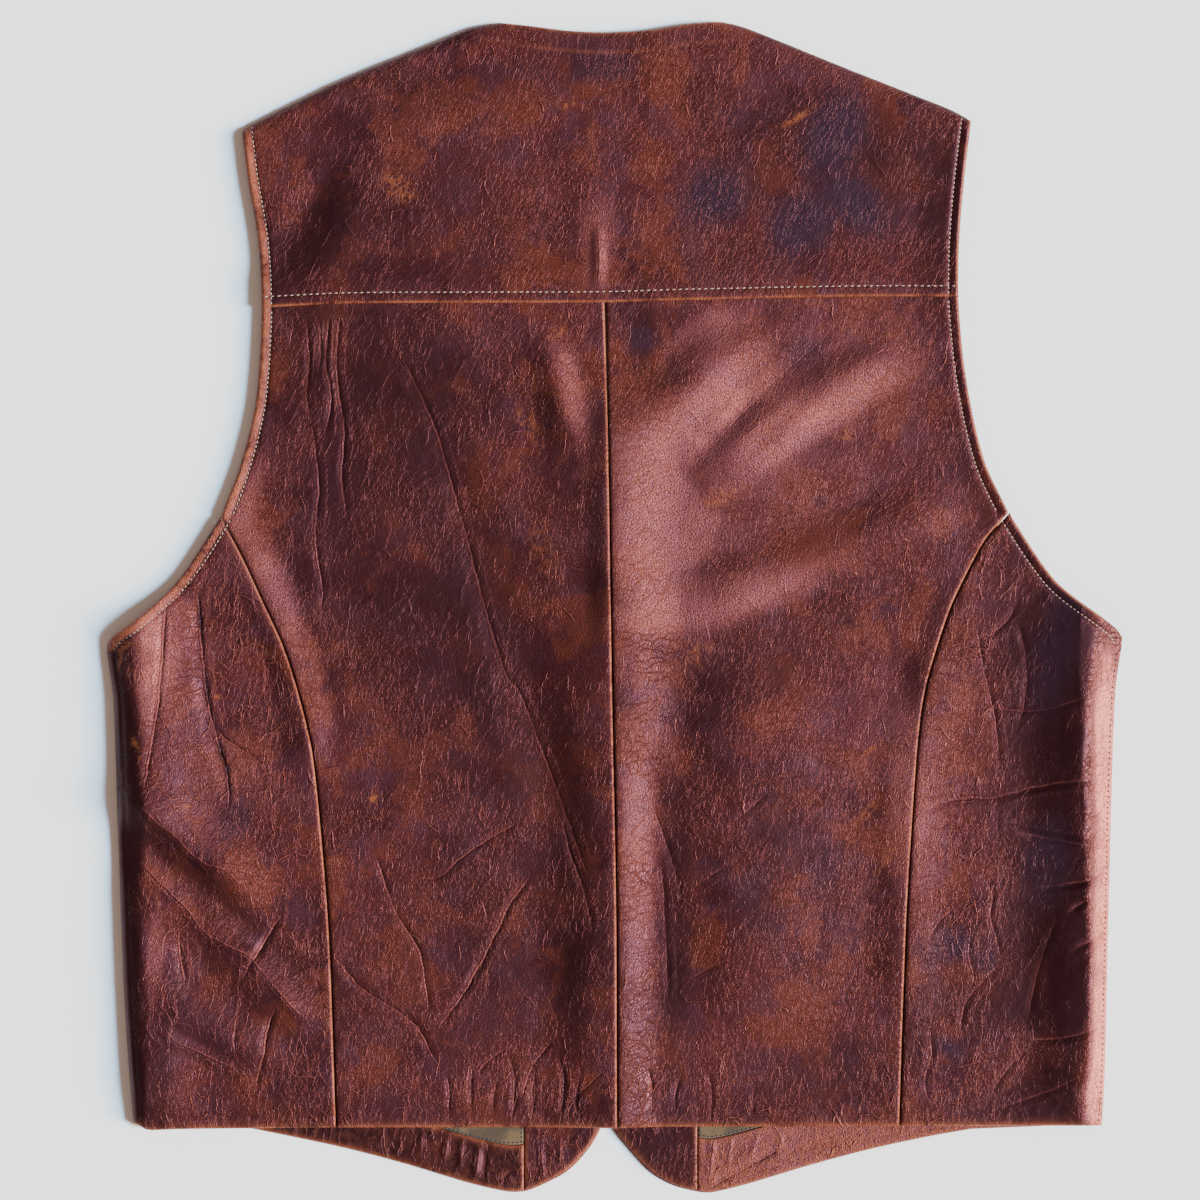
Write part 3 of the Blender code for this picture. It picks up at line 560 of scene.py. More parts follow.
# %% Height of a back panel
BACK_TOP = 6.4
ROLLED_EDGE_Z = 2.25
ROLL_RADIUS = 7.0
SHOULDER_ROLL = ((0.0, ROLL_RADIUS),)
SIDE_ROLL = {
    "left": ((0.0, 13.0),),
    "right": ((-300.0, 10.0), (-196.0, 11.0), (-90.0, 18.0), (-17.0, 17.0)),
}
ROUND = 2.0
SIDE_FULLNESS = {"left": 3.2, "right": 1.3}
YOKE_LIFT = 2.0
YOKE_LIFT_FADE = 20.0
CALM_ZONE = 4.0

Surface = namedtuple(
    "Surface", "finishes rolled roll_width fullness lifted", defaults=((), SHOULDER_ROLL, ROUND, False)
)


def roll_over(points, top, surface):
    """Height with the surface rolled down along its rolled edges."""
    if not surface.rolled:
        return top
    heights, widths = np.transpose(surface.roll_width)
    width = np.interp(points[:, 1], heights, widths)
    turn = 1.0 - np.clip(distance_to(points, surface.rolled) / width, 0.0, 1.0)
    round_over = (1.0 - turn**surface.fullness)**(1.0 / surface.fullness)
    return ROLLED_EDGE_Z + (top - ROLLED_EDGE_Z) * round_over


def plain_height(points, surface):
    """Height of the panel with its folds only."""
    top = BACK_TOP + fold_height(points)
    if surface.lifted:
        lap = points[:, 1] - seam_height(points[:, 0]) - YOKE_LAP
        top += YOKE_LIFT * (1.0 - ease(lap / YOKE_LIFT_FADE))
    return top


def dressed_height(points, surface):
    """Height with creases and sewn edges, and the wear, partly a painted highlight, and calm beside edges at
    each point.
    """
    top = plain_height(points, surface)
    creases = crease_height(points)[0]
    wear = np.zeros(len(points))
    calm = np.ones(len(points))
    for curves, profile in surface.finishes:
        distance = distance_to(points, curves)
        top = top + np.interp(distance, profile.distance, profile.rise)
        wear = np.maximum(wear, np.interp(distance, profile.distance, profile.wear))
        calm = np.minimum(calm, ease(distance / CALM_ZONE))
    return roll_over(points, top + creases * calm, surface), wear, calm


yoke_surface = Surface(
    finishes=[
        ([armhole_line["left"]], TURNED_ARMHOLE["left"]),
        ([armhole_line["right"]], TURNED_ARMHOLE["right"]),
        ([yoke_line], CUT_STITCHED),
        ([neck_line], TURNED_NECK),
    ],
    rolled=list(shoulder_line.values()),
    lifted=True,
)
centre_surface = {
    side: Surface(
        finishes=[
            ([upper_armhole[side]], TURNED_ARMHOLE[side]),
            ([centre_line], SEAM_LIT if side == "left" else SEAM_SUNK),
            ([princess_line[side]], SEAM_SUNK if side == "left" else SEAM_LIT),
            ([hem_line], TURNED),
        ],
    )
    for side in SIDES
}
side_surface = {
    side: Surface(
        finishes=[
            ([lower_armhole[side]], TURNED_ARMHOLE[side]),
            ([princess_line[side]], SEAM_LIT if side == "left" else SEAM_SUNK),
            ([hem_line], TURNED),
            ([side_line[side]], SIDE_STITCHED),
        ],
        rolled=[side_line[side]],
        roll_width=SIDE_ROLL[side],
        fullness=SIDE_FULLNESS[side],
    )
    for side in SIDES
}
yoke_middle = dressed_height(np.array([[0.0, 250.0]]), yoke_surface)[0]
print("the yoke lies", round(float(yoke_middle[0]), 1), "mm over the floor")

# %% [markdown]
# ## From four edges to a panel
#
# A panel has four edges. A Coons patch fills them with a grid whose lines follow the edges, so that beads and
# grooves run along the seams instead of across the mesh. The grid is finer beside the edges. The shell is
# closed: a fine outer face, a coarse inner face one leather's thickness below it, and a rim between them.

# %% Panel grid
GRID_STEP = 1.25
LEATHER = 1.4
SEAM_LINES = [0.0, 0.25, 0.5, 0.9, 1.4, 2.1, 2.9, 3.8, 4.6, 5.2, 5.7, 6.2, 7.0]
PLAIN_LINES = [0.0, 0.3, 0.7, 1.3, 2.1, 3.1]
ROLL_LINES = [ROLL_RADIUS * (1.0 - math.cos(math.radians(angle))) for angle in range(0, 91, 9)]
PROBES = 41


def spread(lengths, count, first_lines, last_lines):
    """For each length, the shares of the lines beside both edges and of count even spaces between."""
    lengths = np.asarray(lengths, float)[:, None]
    first = np.array(first_lines)[None, :] / lengths
    last = 1.0 - np.array(last_lines[::-1])[None, :] / lengths
    middle = np.linspace(0.0, 1.0, count + 1)[None, 1:-1]
    between = first[:, -1:] + middle * (last[:, :1] - first[:, -1:])
    return np.hstack([first, between, last])


def space_count(length, first_lines, last_lines):
    """Number of even spaces between the lines beside both edges."""
    return max(2, int(round((length - first_lines[-1] - last_lines[-1]) / GRID_STEP)))


def panel_grid(edges, lines):
    """Rows and columns of points in plan between four edge curves."""
    top, bottom, left, right = edges
    probe = np.linspace(0.0, 1.0, PROBES)
    wide = np.linalg.norm(left(probe) - right(probe), axis=1)
    tall = np.linalg.norm(top(probe) - bottom(probe), axis=1)
    columns = space_count(wide.max(), lines["left"], lines["right"])
    rows = space_count(tall.max(), lines["top"], lines["bottom"])
    even_rows = spread([tall.mean()], rows, lines["top"], lines["bottom"])[0]
    even_columns = spread([wide.mean()], columns, lines["left"], lines["right"])[0]
    row_wide = np.linalg.norm(left(even_rows) - right(even_rows), axis=1)
    column_tall = np.linalg.norm(top(even_columns) - bottom(even_columns), axis=1)
    u = spread(row_wide, columns, lines["left"], lines["right"])
    v = spread(column_tall, rows, lines["top"], lines["bottom"]).T
    u_run, v_run = u.ravel(), v.ravel()
    a, b = u_run[:, None], v_run[:, None]
    plan = (1 - b) * top(u_run) + b * bottom(u_run) + (1 - a) * left(v_run) + a * right(v_run)
    ends = np.array([0.0, 1.0])
    (top_left, top_right), (low_left, low_right) = top(ends), bottom(ends)
    plan -= (1 - a) * ((1 - b) * top_left + b * low_left) + a * ((1 - b) * top_right + b * low_right)
    return plan.reshape(*u.shape, 2)


print("lines beside a seam:", len(SEAM_LINES), "on a roll:", len(ROLL_LINES))


# %% Edge functions for the panels
LIT_GAP = 0.05
SUNK_GAP = 0.65


def at_height(curve, y):
    """Point of a falling curve at height y."""
    return np.array([np.interp(-y, -curve[:, 1], curve[:, 0]), y])


def below(curve, y):
    """Part of a falling curve from height y down."""
    return np.vstack([[at_height(curve, y)], curve[curve[:, 1] < y]])


def above(curve, y):
    """Part of a falling curve down to height y."""
    return np.vstack([curve[curve[:, 1] > y], [at_height(curve, y)]])


def stretch(curve, first_x, last_x):
    """Function from shares to points of a curve that runs in X, between two places on it."""
    def points(share):
        x = first_x + share * (last_x - first_x)
        return np.stack([x, np.interp(x, curve[:, 0], curve[:, 1])], axis=-1)
    return points


def along(curve):
    """Function from shares of a curve's length to its points."""
    steps = np.linalg.norm(np.diff(curve, axis=0), axis=1)
    run = np.concatenate([[0.0], np.cumsum(steps)]) / steps.sum()
    return lambda share: np.stack([np.interp(share, run, curve[:, axis]) for axis in (0, 1)], axis=-1)


def down(curve):
    """Function from shares of a falling curve's height to its points."""
    def points(share):
        y = curve[0, 1] + share * (curve[-1, 1] - curve[0, 1])
        return np.stack([np.interp(-y, -curve[:, 1], curve[:, 0]), y], axis=-1)
    return points


def left_of(seam):
    """Edge of the panel on a seam's left."""
    return seam - np.array([LIT_GAP, 0.0])


def right_of(seam):
    """Edge of the panel on a seam's right, which leaves the groove."""
    return seam + np.array([SUNK_GAP, 0.0])


def yoke_edges():
    """Edges of the yoke: shoulders and neck, lower edge and both armholes."""
    top = np.vstack([shoulder_line["left"], neck_line[1:], shoulder_line["right"][1:]])
    left = above(armhole_line["left"], yoke_line[0, 1])
    right = above(armhole_line["right"], yoke_line[-1, 1])
    return (
        stretch(top, top[0, 0], top[-1, 0]),
        stretch(yoke_line, left[-1, 0], right[-1, 0]),
        down(left),
        down(right),
    )


def centre_edges(side):
    """Edges of a centre panel, from under the yoke to the hem."""
    lap = yoke_line + np.array([0.0, YOKE_LAP])
    outer_top = lap[0, 1] if side == "left" else lap[-1, 1]
    seam = right_of(princess_line[side]) if side == "left" else left_of(princess_line[side])
    outer = np.vstack([below(upper_armhole[side], outer_top)[:-1], seam])
    inner = left_of(centre_line) if side == "left" else right_of(centre_line)
    inner = below(inner, np.interp(inner[0, 0], lap[:, 0], lap[:, 1]))
    left, right = (outer, inner) if side == "left" else (inner, outer)
    return (
        stretch(lap, left[0, 0], right[0, 0]),
        stretch(hem_line, left[-1, 0], right[-1, 0]),
        down(left),
        down(right),
    )


def side_edges(side):
    """Edges of a side panel, from the armhole to the hem."""
    inner = left_of(princess_line[side]) if side == "left" else right_of(princess_line[side])
    armhole = np.vstack([inner[:1], lower_armhole[side][1:]])
    top = armhole[::-1] if side == "left" else armhole
    left, right = (side_line[side], inner) if side == "left" else (inner, side_line[side])
    return along(top), stretch(hem_line, left[-1, 0], right[-1, 0]), along(left), along(right)


print("a seam's groove is", round(LIT_GAP + SUNK_GAP, 2), "mm wide")


# %% Closed shell from an outer and an inner grid
INNER_STRIDE = 4


def coarse_steps(count):
    """Every few grid lines, the first and the last among them."""
    return list(range(0, count - 1, INNER_STRIDE)) + [count - 1]


def grid_faces(numbers):
    """Quads of a grid of vertex numbers, facing up."""
    corners = [numbers[:-1, :-1], numbers[1:, :-1], numbers[1:, 1:], numbers[:-1, 1:]]
    return np.stack(corners, -1).reshape(-1, 4)


def shell_faces(rows, columns):
    """Faces of a fine outer grid, a coarse inner grid and the rim between them."""
    outer = np.arange(rows * columns).reshape(rows, columns)
    coarse_rows, coarse_columns = coarse_steps(rows), coarse_steps(columns)
    inner = rows * columns + np.arange(len(coarse_rows) * len(coarse_columns))
    inner = inner.reshape(len(coarse_rows), len(coarse_columns))
    inner_quads = grid_faces(inner)[:, [0, 3, 2, 1]]
    faces = grid_faces(outer).tolist() + inner_quads.tolist()
    for step, (first, last) in enumerate(zip(coarse_rows[:-1], coarse_rows[1:])):
        left, right = outer[first:last + 1, 0].tolist(), outer[first:last + 1, -1].tolist()
        faces.append(left[::-1] + [int(inner[step, 0]), int(inner[step + 1, 0])])
        faces.append(right + [int(inner[step + 1, -1]), int(inner[step, -1])])
    for step, (first, last) in enumerate(zip(coarse_columns[:-1], coarse_columns[1:])):
        top, low = outer[0, first:last + 1].tolist(), outer[-1, first:last + 1].tolist()
        faces.append(top + [int(inner[0, step + 1]), int(inner[0, step])])
        faces.append(low[::-1] + [int(inner[-1, step]), int(inner[-1, step + 1])])
    return faces


def inner_face(grid):
    """The grid moved one leather's thickness to its inside."""
    normal = np.cross(np.gradient(grid, axis=1), -np.gradient(grid, axis=0))
    normal /= np.linalg.norm(normal, axis=-1, keepdims=True)
    return grid - LEATHER * normal


def add_object(name, data):
    """Object in the scene with some data."""
    made = bpy.data.objects.new(name, data)
    bpy.context.scene.collection.objects.link(made)
    return made


def add_mesh(name, points, faces, values):
    """Object from points in millimetres and faces, with values kept at its vertices."""
    mesh = bpy.data.meshes.new(name)
    mesh.from_pydata((points * MM).tolist(), [], faces)
    for key, data in values.items():
        kind, field = ("FLOAT_VECTOR", "vector") if data.ndim == 2 else ("FLOAT", "value")
        layer = mesh.attributes.new(key, kind, "POINT")
        layer.data.foreach_set(field, np.ascontiguousarray(data, dtype=np.float32).ravel())
    mesh.shade_smooth()
    return add_object(name, mesh)


def shell_values(outer_values, inner_count):
    """Values at the vertices of a shell: those of its outer face, and zero on the inner one."""
    blank = np.zeros(inner_count)
    return {key: np.concatenate([data, blank]) for key, data in outer_values.items()}


print("the inner face keeps one grid line in", INNER_STRIDE)

# %% [markdown]
# ## Marks on the hide
#
# No two hides are alike. This one has dark, bluish patches where the wax has gathered, orange rubs where it
# has come off, and a few short scratches. Each is a soft ellipse with its own place, size and turn. Broad
# tones lie under them and are added up: above zero the leather is lighter, above one it carries a painted
# highlight, and below zero it is deeper. The tones are partly the hide's own uneven colour and partly painted
# light and shade that the low folds don't give by themselves, such as the highlight along the right side roll
# and the shade down the left flank. All are kept as values at the vertices, because each has its place on the
# vest, and the leather's material later breaks up their edges with noise.

# %% Tables of marks, in millimetres and degrees
Mark = namedtuple("Mark", "x y long wide turn strength")

DARK_PATCHES = [
    Mark(125.0, 268.0, 30.0, 19.0, 70.0, 1.0),
    Mark(57.0, 234.0, 24.0, 18.0, 20.0, 1.0),
    Mark(106.0, 218.0, 25.0, 18.0, 30.0, 1.0),
    Mark(136.0, 229.0, 27.0, 16.0, -40.0, 1.0),
    Mark(-5.0, 306.0, 22.0, 10.0, 0.0, 0.6),
    Mark(-215.0, -122.0, 13.0, 11.0, 60.0, 0.6),
    Mark(250.0, -22.0, 46.0, 14.0, 80.0, 0.7),
    Mark(106.0, 145.0, 16.0, 11.0, 0.0, 0.6),
    Mark(117.0, 61.0, 6.0, 4.5, 0.0, 0.6),
    Mark(120.0, -150.0, 20.0, 9.0, 70.0, 0.5),
    Mark(77.0, -159.0, 18.0, 9.0, 60.0, 0.4),
    Mark(15.0, 152.0, 10.0, 9.0, 0.0, 0.7),
    Mark(245.0, -145.0, 30.0, 14.0, 80.0, 0.8),
    Mark(190.0, -193.0, 24.0, 11.0, 10.0, 0.8),
    Mark(210.0, -200.0, 9.0, 8.0, 0.0, 0.9),
    Mark(189.0, -249.0, 10.0, 6.0, -30.0, 0.7),
]
TONES = [
    # Lighter on the yoke and the centre panels: partly the hide's own tone, partly painted light on lit slopes
    Mark(-9.0, 206.0, 32.0, 11.0, 88.0, 0.35),
    Mark(70.0, 75.0, 110.0, 66.0, 35.0, 0.30),
    Mark(95.0, 118.0, 75.0, 34.0, 35.0, 0.32),
    Mark(50.0, 153.0, 36.0, 13.0, 35.0, 0.60),
    Mark(60.0, 118.0, 44.0, 17.0, 48.0, 0.50),
    Mark(112.0, 110.0, 66.0, 16.0, 26.0, 0.40),
    Mark(60.0, 5.0, 62.0, 14.0, 14.0, 0.60),
    Mark(14.0, -150.0, 72.0, 12.0, 90.0, 0.40),
    Mark(22.0, 52.0, 70.0, 24.0, 85.0, 0.40),
    Mark(48.0, 40.0, 20.0, 11.0, 60.0, 0.40),
    Mark(54.0, -6.0, 22.0, 11.0, 20.0, 0.30),
    Mark(148.0, -62.0, 36.0, 14.0, 80.0, 0.25),
    Mark(-22.0, 120.0, 36.0, 11.0, -72.0, 0.45),
    Mark(-119.0, 41.0, 26.0, 14.0, -70.0, 0.30),
    # Lighter on the side panels and their seams; the strongest are painted highlights on both side rolls
    Mark(-268.0, -24.0, 46.0, 22.0, 84.0, 1.30),
    Mark(-209.0, 64.0, 26.0, 11.0, 64.0, 0.60),
    Mark(-202.0, 22.0, 52.0, 14.0, -62.0, 0.70),
    Mark(-218.0, -96.0, 34.0, 24.0, -40.0, 0.25),
    Mark(-261.0, -201.0, 28.0, 7.0, 86.0, 0.60),
    Mark(178.0, -110.0, 60.0, 9.0, 88.0, 0.40),
    Mark(166.0, -105.0, 62.0, 12.0, 88.0, 0.60),
    Mark(279.5, -68.0, 62.0, 11.0, 92.0, 1.90),
    Mark(278.0, -195.0, 125.0, 10.5, 90.0, 2.10),
    Mark(274.0, -282.0, 30.0, 12.0, 90.0, 1.80),
    # Deeper on the yoke: partly the hide's own tone, partly painted shade
    Mark(-168.0, 215.0, 60.0, 18.0, 60.0, -0.70),
    Mark(-110.0, 215.0, 60.0, 40.0, 0.0, -0.30),
    Mark(-70.0, 300.0, 120.0, 18.0, 14.0, -0.30),
    Mark(186.0, 220.0, 60.0, 16.0, 85.0, -0.80),
    Mark(120.0, 240.0, 70.0, 46.0, 0.0, -0.40),
    Mark(142.0, 268.0, 42.0, 24.0, -30.0, -0.45),
    # Deeper on the left centre panel: partly the hide's own tone, partly painted shade
    Mark(-125.0, 60.0, 150.0, 66.0, -75.0, -0.68),
    Mark(-110.0, 132.0, 60.0, 40.0, 0.0, -0.22),
    Mark(-60.0, -110.0, 90.0, 11.0, -72.0, -0.30),
    Mark(-171.0, 146.0, 36.0, 12.0, 85.0, -0.35),
    Mark(-51.0, -65.0, 120.0, 26.0, -70.0, -0.50),
    Mark(-100.0, -96.0, 40.0, 26.0, 0.0, -0.25),
    Mark(-22.0, -122.0, 110.0, 18.0, 90.0, -0.25),
    Mark(-24.0, -215.0, 42.0, 10.0, 88.0, -0.50),
    Mark(-70.0, -200.0, 90.0, 70.0, 0.0, -0.25),
    # Deeper on the right centre panel: partly the hide's own tone, partly painted shade
    Mark(43.0, 82.0, 14.0, 9.0, -50.0, -0.35),
    Mark(16.0, 157.0, 24.0, 11.0, 90.0, -0.70),
    Mark(71.5, -42.0, 45.0, 24.0, 20.0, -0.45),
    Mark(34.0, -175.0, 90.0, 11.0, 90.0, -0.80),
    Mark(87.0, -145.0, 62.0, 16.0, 82.0, -0.55),
    Mark(130.0, -262.0, 52.0, 20.0, 10.0, -0.45),
    Mark(182.0, -8.0, 28.0, 9.0, 66.0, -0.70),
    Mark(203.0, 75.0, 42.0, 12.0, -66.0, -0.50),
    # Deeper on the side panels: painted shade down the left flank and beside the right roll's crest, and own
    # tone
    Mark(274.0, -17.0, 13.0, 9.0, 0.0, -0.70),
    Mark(245.0, -277.0, 44.0, 22.0, 16.0, -0.50),
    Mark(244.0, -110.0, 200.0, 30.0, 90.0, -0.90),
    Mark(258.0, -45.0, 60.0, 14.0, 86.0, -0.50),
    Mark(260.0, -198.0, 62.0, 13.0, 90.0, -0.85),
    Mark(228.0, -22.0, 30.0, 16.0, 60.0, -0.35),
    Mark(200.0, -225.0, 38.0, 28.0, 0.0, -0.45),
    Mark(-280.0, -150.0, 170.0, 14.0, 90.0, -1.30),
    Mark(-284.0, -60.0, 60.0, 13.0, 88.0, -1.30),
    Mark(-262.0, -118.0, 24.0, 12.0, -40.0, -0.50),
    Mark(-216.0, -176.0, 68.0, 14.0, -45.0, -0.60),
    Mark(-220.0, -240.0, 60.0, 40.0, -40.0, -0.30),
    Mark(-262.0, -272.0, 34.0, 17.0, 84.0, -0.85),
    # Painted shade along the hem
    Mark(0.0, -290.0, 300.0, 16.0, 0.0, -0.30),
]
ORANGE_RUBS = [
    Mark(104.0, 278.0, 12.0, 1.6, 31.0, 0.9),
    Mark(-27.0, 285.0, 5.0, 1.2, 17.0, 0.9),
    Mark(145.0, -81.0, 6.0, 1.4, 41.0, 1.0),
    Mark(-136.5, -108.6, 4.0, 2.6, 0.0, 1.0),
    Mark(-224.0, -50.5, 4.5, 1.3, 0.0, 1.0),
    Mark(-280.0, -21.5, 7.0, 2.4, 10.0, 1.0),
    Mark(-280.0, -27.0, 9.0, 1.6, 80.0, 0.8),
    Mark(-275.5, -38.5, 4.0, 1.4, 70.0, 0.8),
    Mark(-242.0, -112.0, 4.0, 1.5, 30.0, 0.8),
    Mark(-123.0, 239.0, 13.0, 7.0, -40.0, 0.6),
    Mark(131.0, 98.0, 7.0, 4.0, 0.0, 0.7),
    Mark(159.0, 155.0, 5.0, 2.0, 0.0, 0.5),
    Mark(61.0, 63.5, 12.0, 6.0, 30.0, 0.45),
    Mark(48.0, -25.0, 9.0, 7.0, 40.0, 0.4),
    Mark(144.0, -115.0, 11.0, 3.0, 45.0, 0.5),
    Mark(154.0, -141.0, 12.0, 4.0, 60.0, 0.5),
    Mark(-32.0, 156.0, 6.0, 4.0, 30.0, 0.6),
    Mark(-48.0, 103.0, 14.0, 6.0, -60.0, 0.45),
    Mark(-40.0, 35.0, 18.0, 9.0, -70.0, 0.35),
    Mark(277.0, -176.0, 14.0, 4.0, 85.0, 0.5),
    Mark(-271.0, -79.0, 8.0, 2.0, -65.0, 0.8),
]
MARK_END = 1.35


def mark_shapes(points, marks):
    """For each of some soft elliptical marks, its strength at each point."""
    for mark in marks:
        turn = math.radians(mark.turn)
        offset = points - np.array([mark.x, mark.y])
        lengthwise = offset @ np.array([math.cos(turn), math.sin(turn)]) / mark.long
        crosswise = offset @ np.array([-math.sin(turn), math.cos(turn)]) / mark.wide
        reach = np.sqrt(lengthwise**2 + crosswise**2)
        yield mark.strength * ease(MARK_END - reach)


def painted(points, marks):
    """Strongest of some marks at each point."""
    return np.max(list(mark_shapes(points, marks)), axis=0)


def toned(points):
    """Sum of the broad tones at each point: the hide's own tone, and painted light and shade."""
    return np.sum(list(mark_shapes(points, TONES)), axis=0)


print("marks:", len(DARK_PATCHES) + len(ORANGE_RUBS), "tones:", len(TONES))

# %% [markdown]
# ## The back panels
#
# Every vertex also keeps its place in the flat cut, so that the grain of the leather can follow the piece
# round its rolled edges instead of being projected from above. The place is shifted from piece to piece,
# because each is cut from another part of the hide.

# %% Build the five back panels
HEM_CRACKLE = 1.7
HEM_CRACKLE_REACH = 42.0
DEEP_CALMING = 0.8
PANEL_CRACKLE = {"yoke": 0.05, "centre": 0.15, "side": 0.7}
SHOULDER_END_X = 215.0
HIDE_SHIFT = np.array([0.83, 0.47])


def place_on_hide(flat, piece_number):
    """Place on the hide in metres, for points of a flat cut in millimetres."""
    return np.column_stack([flat * MM + piece_number * HIDE_SHIFT, np.zeros(len(flat))])


def cut_place(points, plain, height, rolled, piece_number):
    """Place of each point in the flat cut, in metres, with rolled edges laid out flat."""
    flat = points.copy()
    drop = np.clip(plain - height, 0.0, None)
    if rolled:
        sideways = np.abs(points[:, 0]) > SHOULDER_END_X
        flat[:, 0] += np.where(sideways, np.sign(points[:, 0]) * drop, 0.0)
        flat[:, 1] += np.where(sideways, 0.0, drop)
    return place_on_hide(flat, piece_number)


def make_back_panel(name, edges, lines, surface, piece_number, crackle):
    """One back panel as a closed shell with all its vertex values."""
    grid = panel_grid(edges, lines)
    rows, columns = grid.shape[:2]
    points = grid.reshape(-1, 2)
    height, wear, calm = dressed_height(points, surface)
    _, pull, beside = crease_height(points)
    plain = plain_height(points, surface)
    rolled = roll_over(points, plain, surface)
    inner = inner_face(np.column_stack([points, rolled]).reshape(rows, columns, 3))
    inner = inner[np.ix_(coarse_steps(rows), coarse_steps(columns))].reshape(-1, 3)
    outer = np.column_stack([points, height])

    hem_y = np.interp(points[:, 0], hem_line[:, 0], hem_line[:, 1])
    near_hem = 1.0 - ease(np.abs(points[:, 1] - hem_y) / HEM_CRACKLE_REACH)
    tone = toned(points)
    deep = np.clip(-tone, 0.0, 1.0)
    flat = cut_place(points, plain, height, surface.rolled, piece_number)
    flat_inner = place_on_hide(inner[:, :2], piece_number)
    outer_values = {
        "wear": wear,
        "pull": pull,
        "beside": beside,
        "calm": calm,
        "crackle": np.maximum(crackle, HEM_CRACKLE * near_hem) * (1.0 - DEEP_CALMING * deep),
        "dark": painted(points, DARK_PATCHES),
        "rub": painted(points, ORANGE_RUBS),
        "tone": tone,
    }
    values = {"cut": np.vstack([flat, flat_inner]), **shell_values(outer_values, len(inner))}
    piece = add_mesh(name, np.vstack([outer, inner]), shell_faces(rows, columns), values)
    print(name, rows, "x", columns, "grid")
    return piece


leather_pieces = {}
yoke_lines = {"left": SEAM_LINES, "right": SEAM_LINES, "top": ROLL_LINES, "bottom": SEAM_LINES}
leather_pieces["back_yoke"] = make_back_panel(
    "yoke_leather", yoke_edges(), yoke_lines, yoke_surface, 1, PANEL_CRACKLE["yoke"]
)
for number, side in enumerate(SIDES, 2):
    centre_lines = {"left": SEAM_LINES, "right": SEAM_LINES, "top": PLAIN_LINES[:1], "bottom": PLAIN_LINES}
    leather_pieces["back_centre_" + side] = make_back_panel(
        "centre_leather_" + side, centre_edges(side), centre_lines, centre_surface[side], number,
        PANEL_CRACKLE["centre"],
    )
    rolled_side, sewn_side = ("left", "right") if side == "left" else ("right", "left")
    side_lines = {rolled_side: ROLL_LINES, sewn_side: SEAM_LINES, "top": SEAM_LINES, "bottom": PLAIN_LINES}
    leather_pieces["back_side_" + side] = make_back_panel(
        "side_leather_" + side, side_edges(side), side_lines, side_surface[side], number + 2,
        PANEL_CRACKLE["side"],
    )

# %% [markdown]
# ## Fronts, facings and lining
#
# The fronts lie flat under the back. Only their tips show, with the inside up: a leather facing along the
# front edge, a leather band along the hem, and a corner of khaki lining between them. These pieces have
# outlines that no four edges describe, so their outline is filled with a constrained Delaunay mesh: rings of
# points beside the edge give it a rounded lip, and points are close together only where the piece shows.

# %% Outlines of the fronts' pieces
FRONT_MEETING_X = -4.6
FRONT_EDGE_GAP = 0.6
FRONT_TIP_START_Y = -270.0
NECK_V_POINT_Y = 70.0
FRONT_ARMHOLE_DEPTH = 14.0
FACING_INSET = 0.8
FACING_SEAM_X = {"left": -51.3, "right": 47.0}
HEM_FACING_WIDTH = {"left": 26.0, "right": 30.0}
HIDDEN_HEM_Y = -293.5
SHOULDER_SLOPE = 0.45
LAYER_GAP = 0.3
CORNER_GAP = 1.0
BAND_CORNER_GAP = 1.5
LINING_ARMHOLE_END = -4


def front_edge(side):
    """Front edge and tip of a front, from the point of the neck V to the hidden hem."""
    edge_x = FRONT_MEETING_X + SIGN[side] * 0.5 * FRONT_EDGE_GAP
    knots = [(edge_x, NECK_V_POINT_Y), (edge_x, FRONT_TIP_START_Y)]
    return smooth_curve(np.vstack([knots, side_points(FRONT_TIP, side)]))


def front_armhole(side):
    """Armhole of a front, cut deeper than the back's."""
    armhole = armhole_line[side].copy()
    depth = FRONT_ARMHOLE_DEPTH * np.sin(np.pi * np.linspace(0.0, 1.0, len(armhole)))
    armhole[:, 0] -= SIGN[side] * depth
    return armhole


def front_outline(side):
    """Outer leather of a front."""
    shoulder = shoulder_line[side] if side == "right" else shoulder_line[side][::-1]
    hem_end = np.array([[side_line[side][-1, 0], HIDDEN_HEM_Y]])
    side_edge = side_line[side][side_line[side][:, 1] > HIDDEN_HEM_Y + CORNER_GAP]
    return np.vstack([
        front_edge(side), hem_end, side_edge[::-1], front_armhole(side)[::-1][1:], shoulder[::-1][1:],
    ])


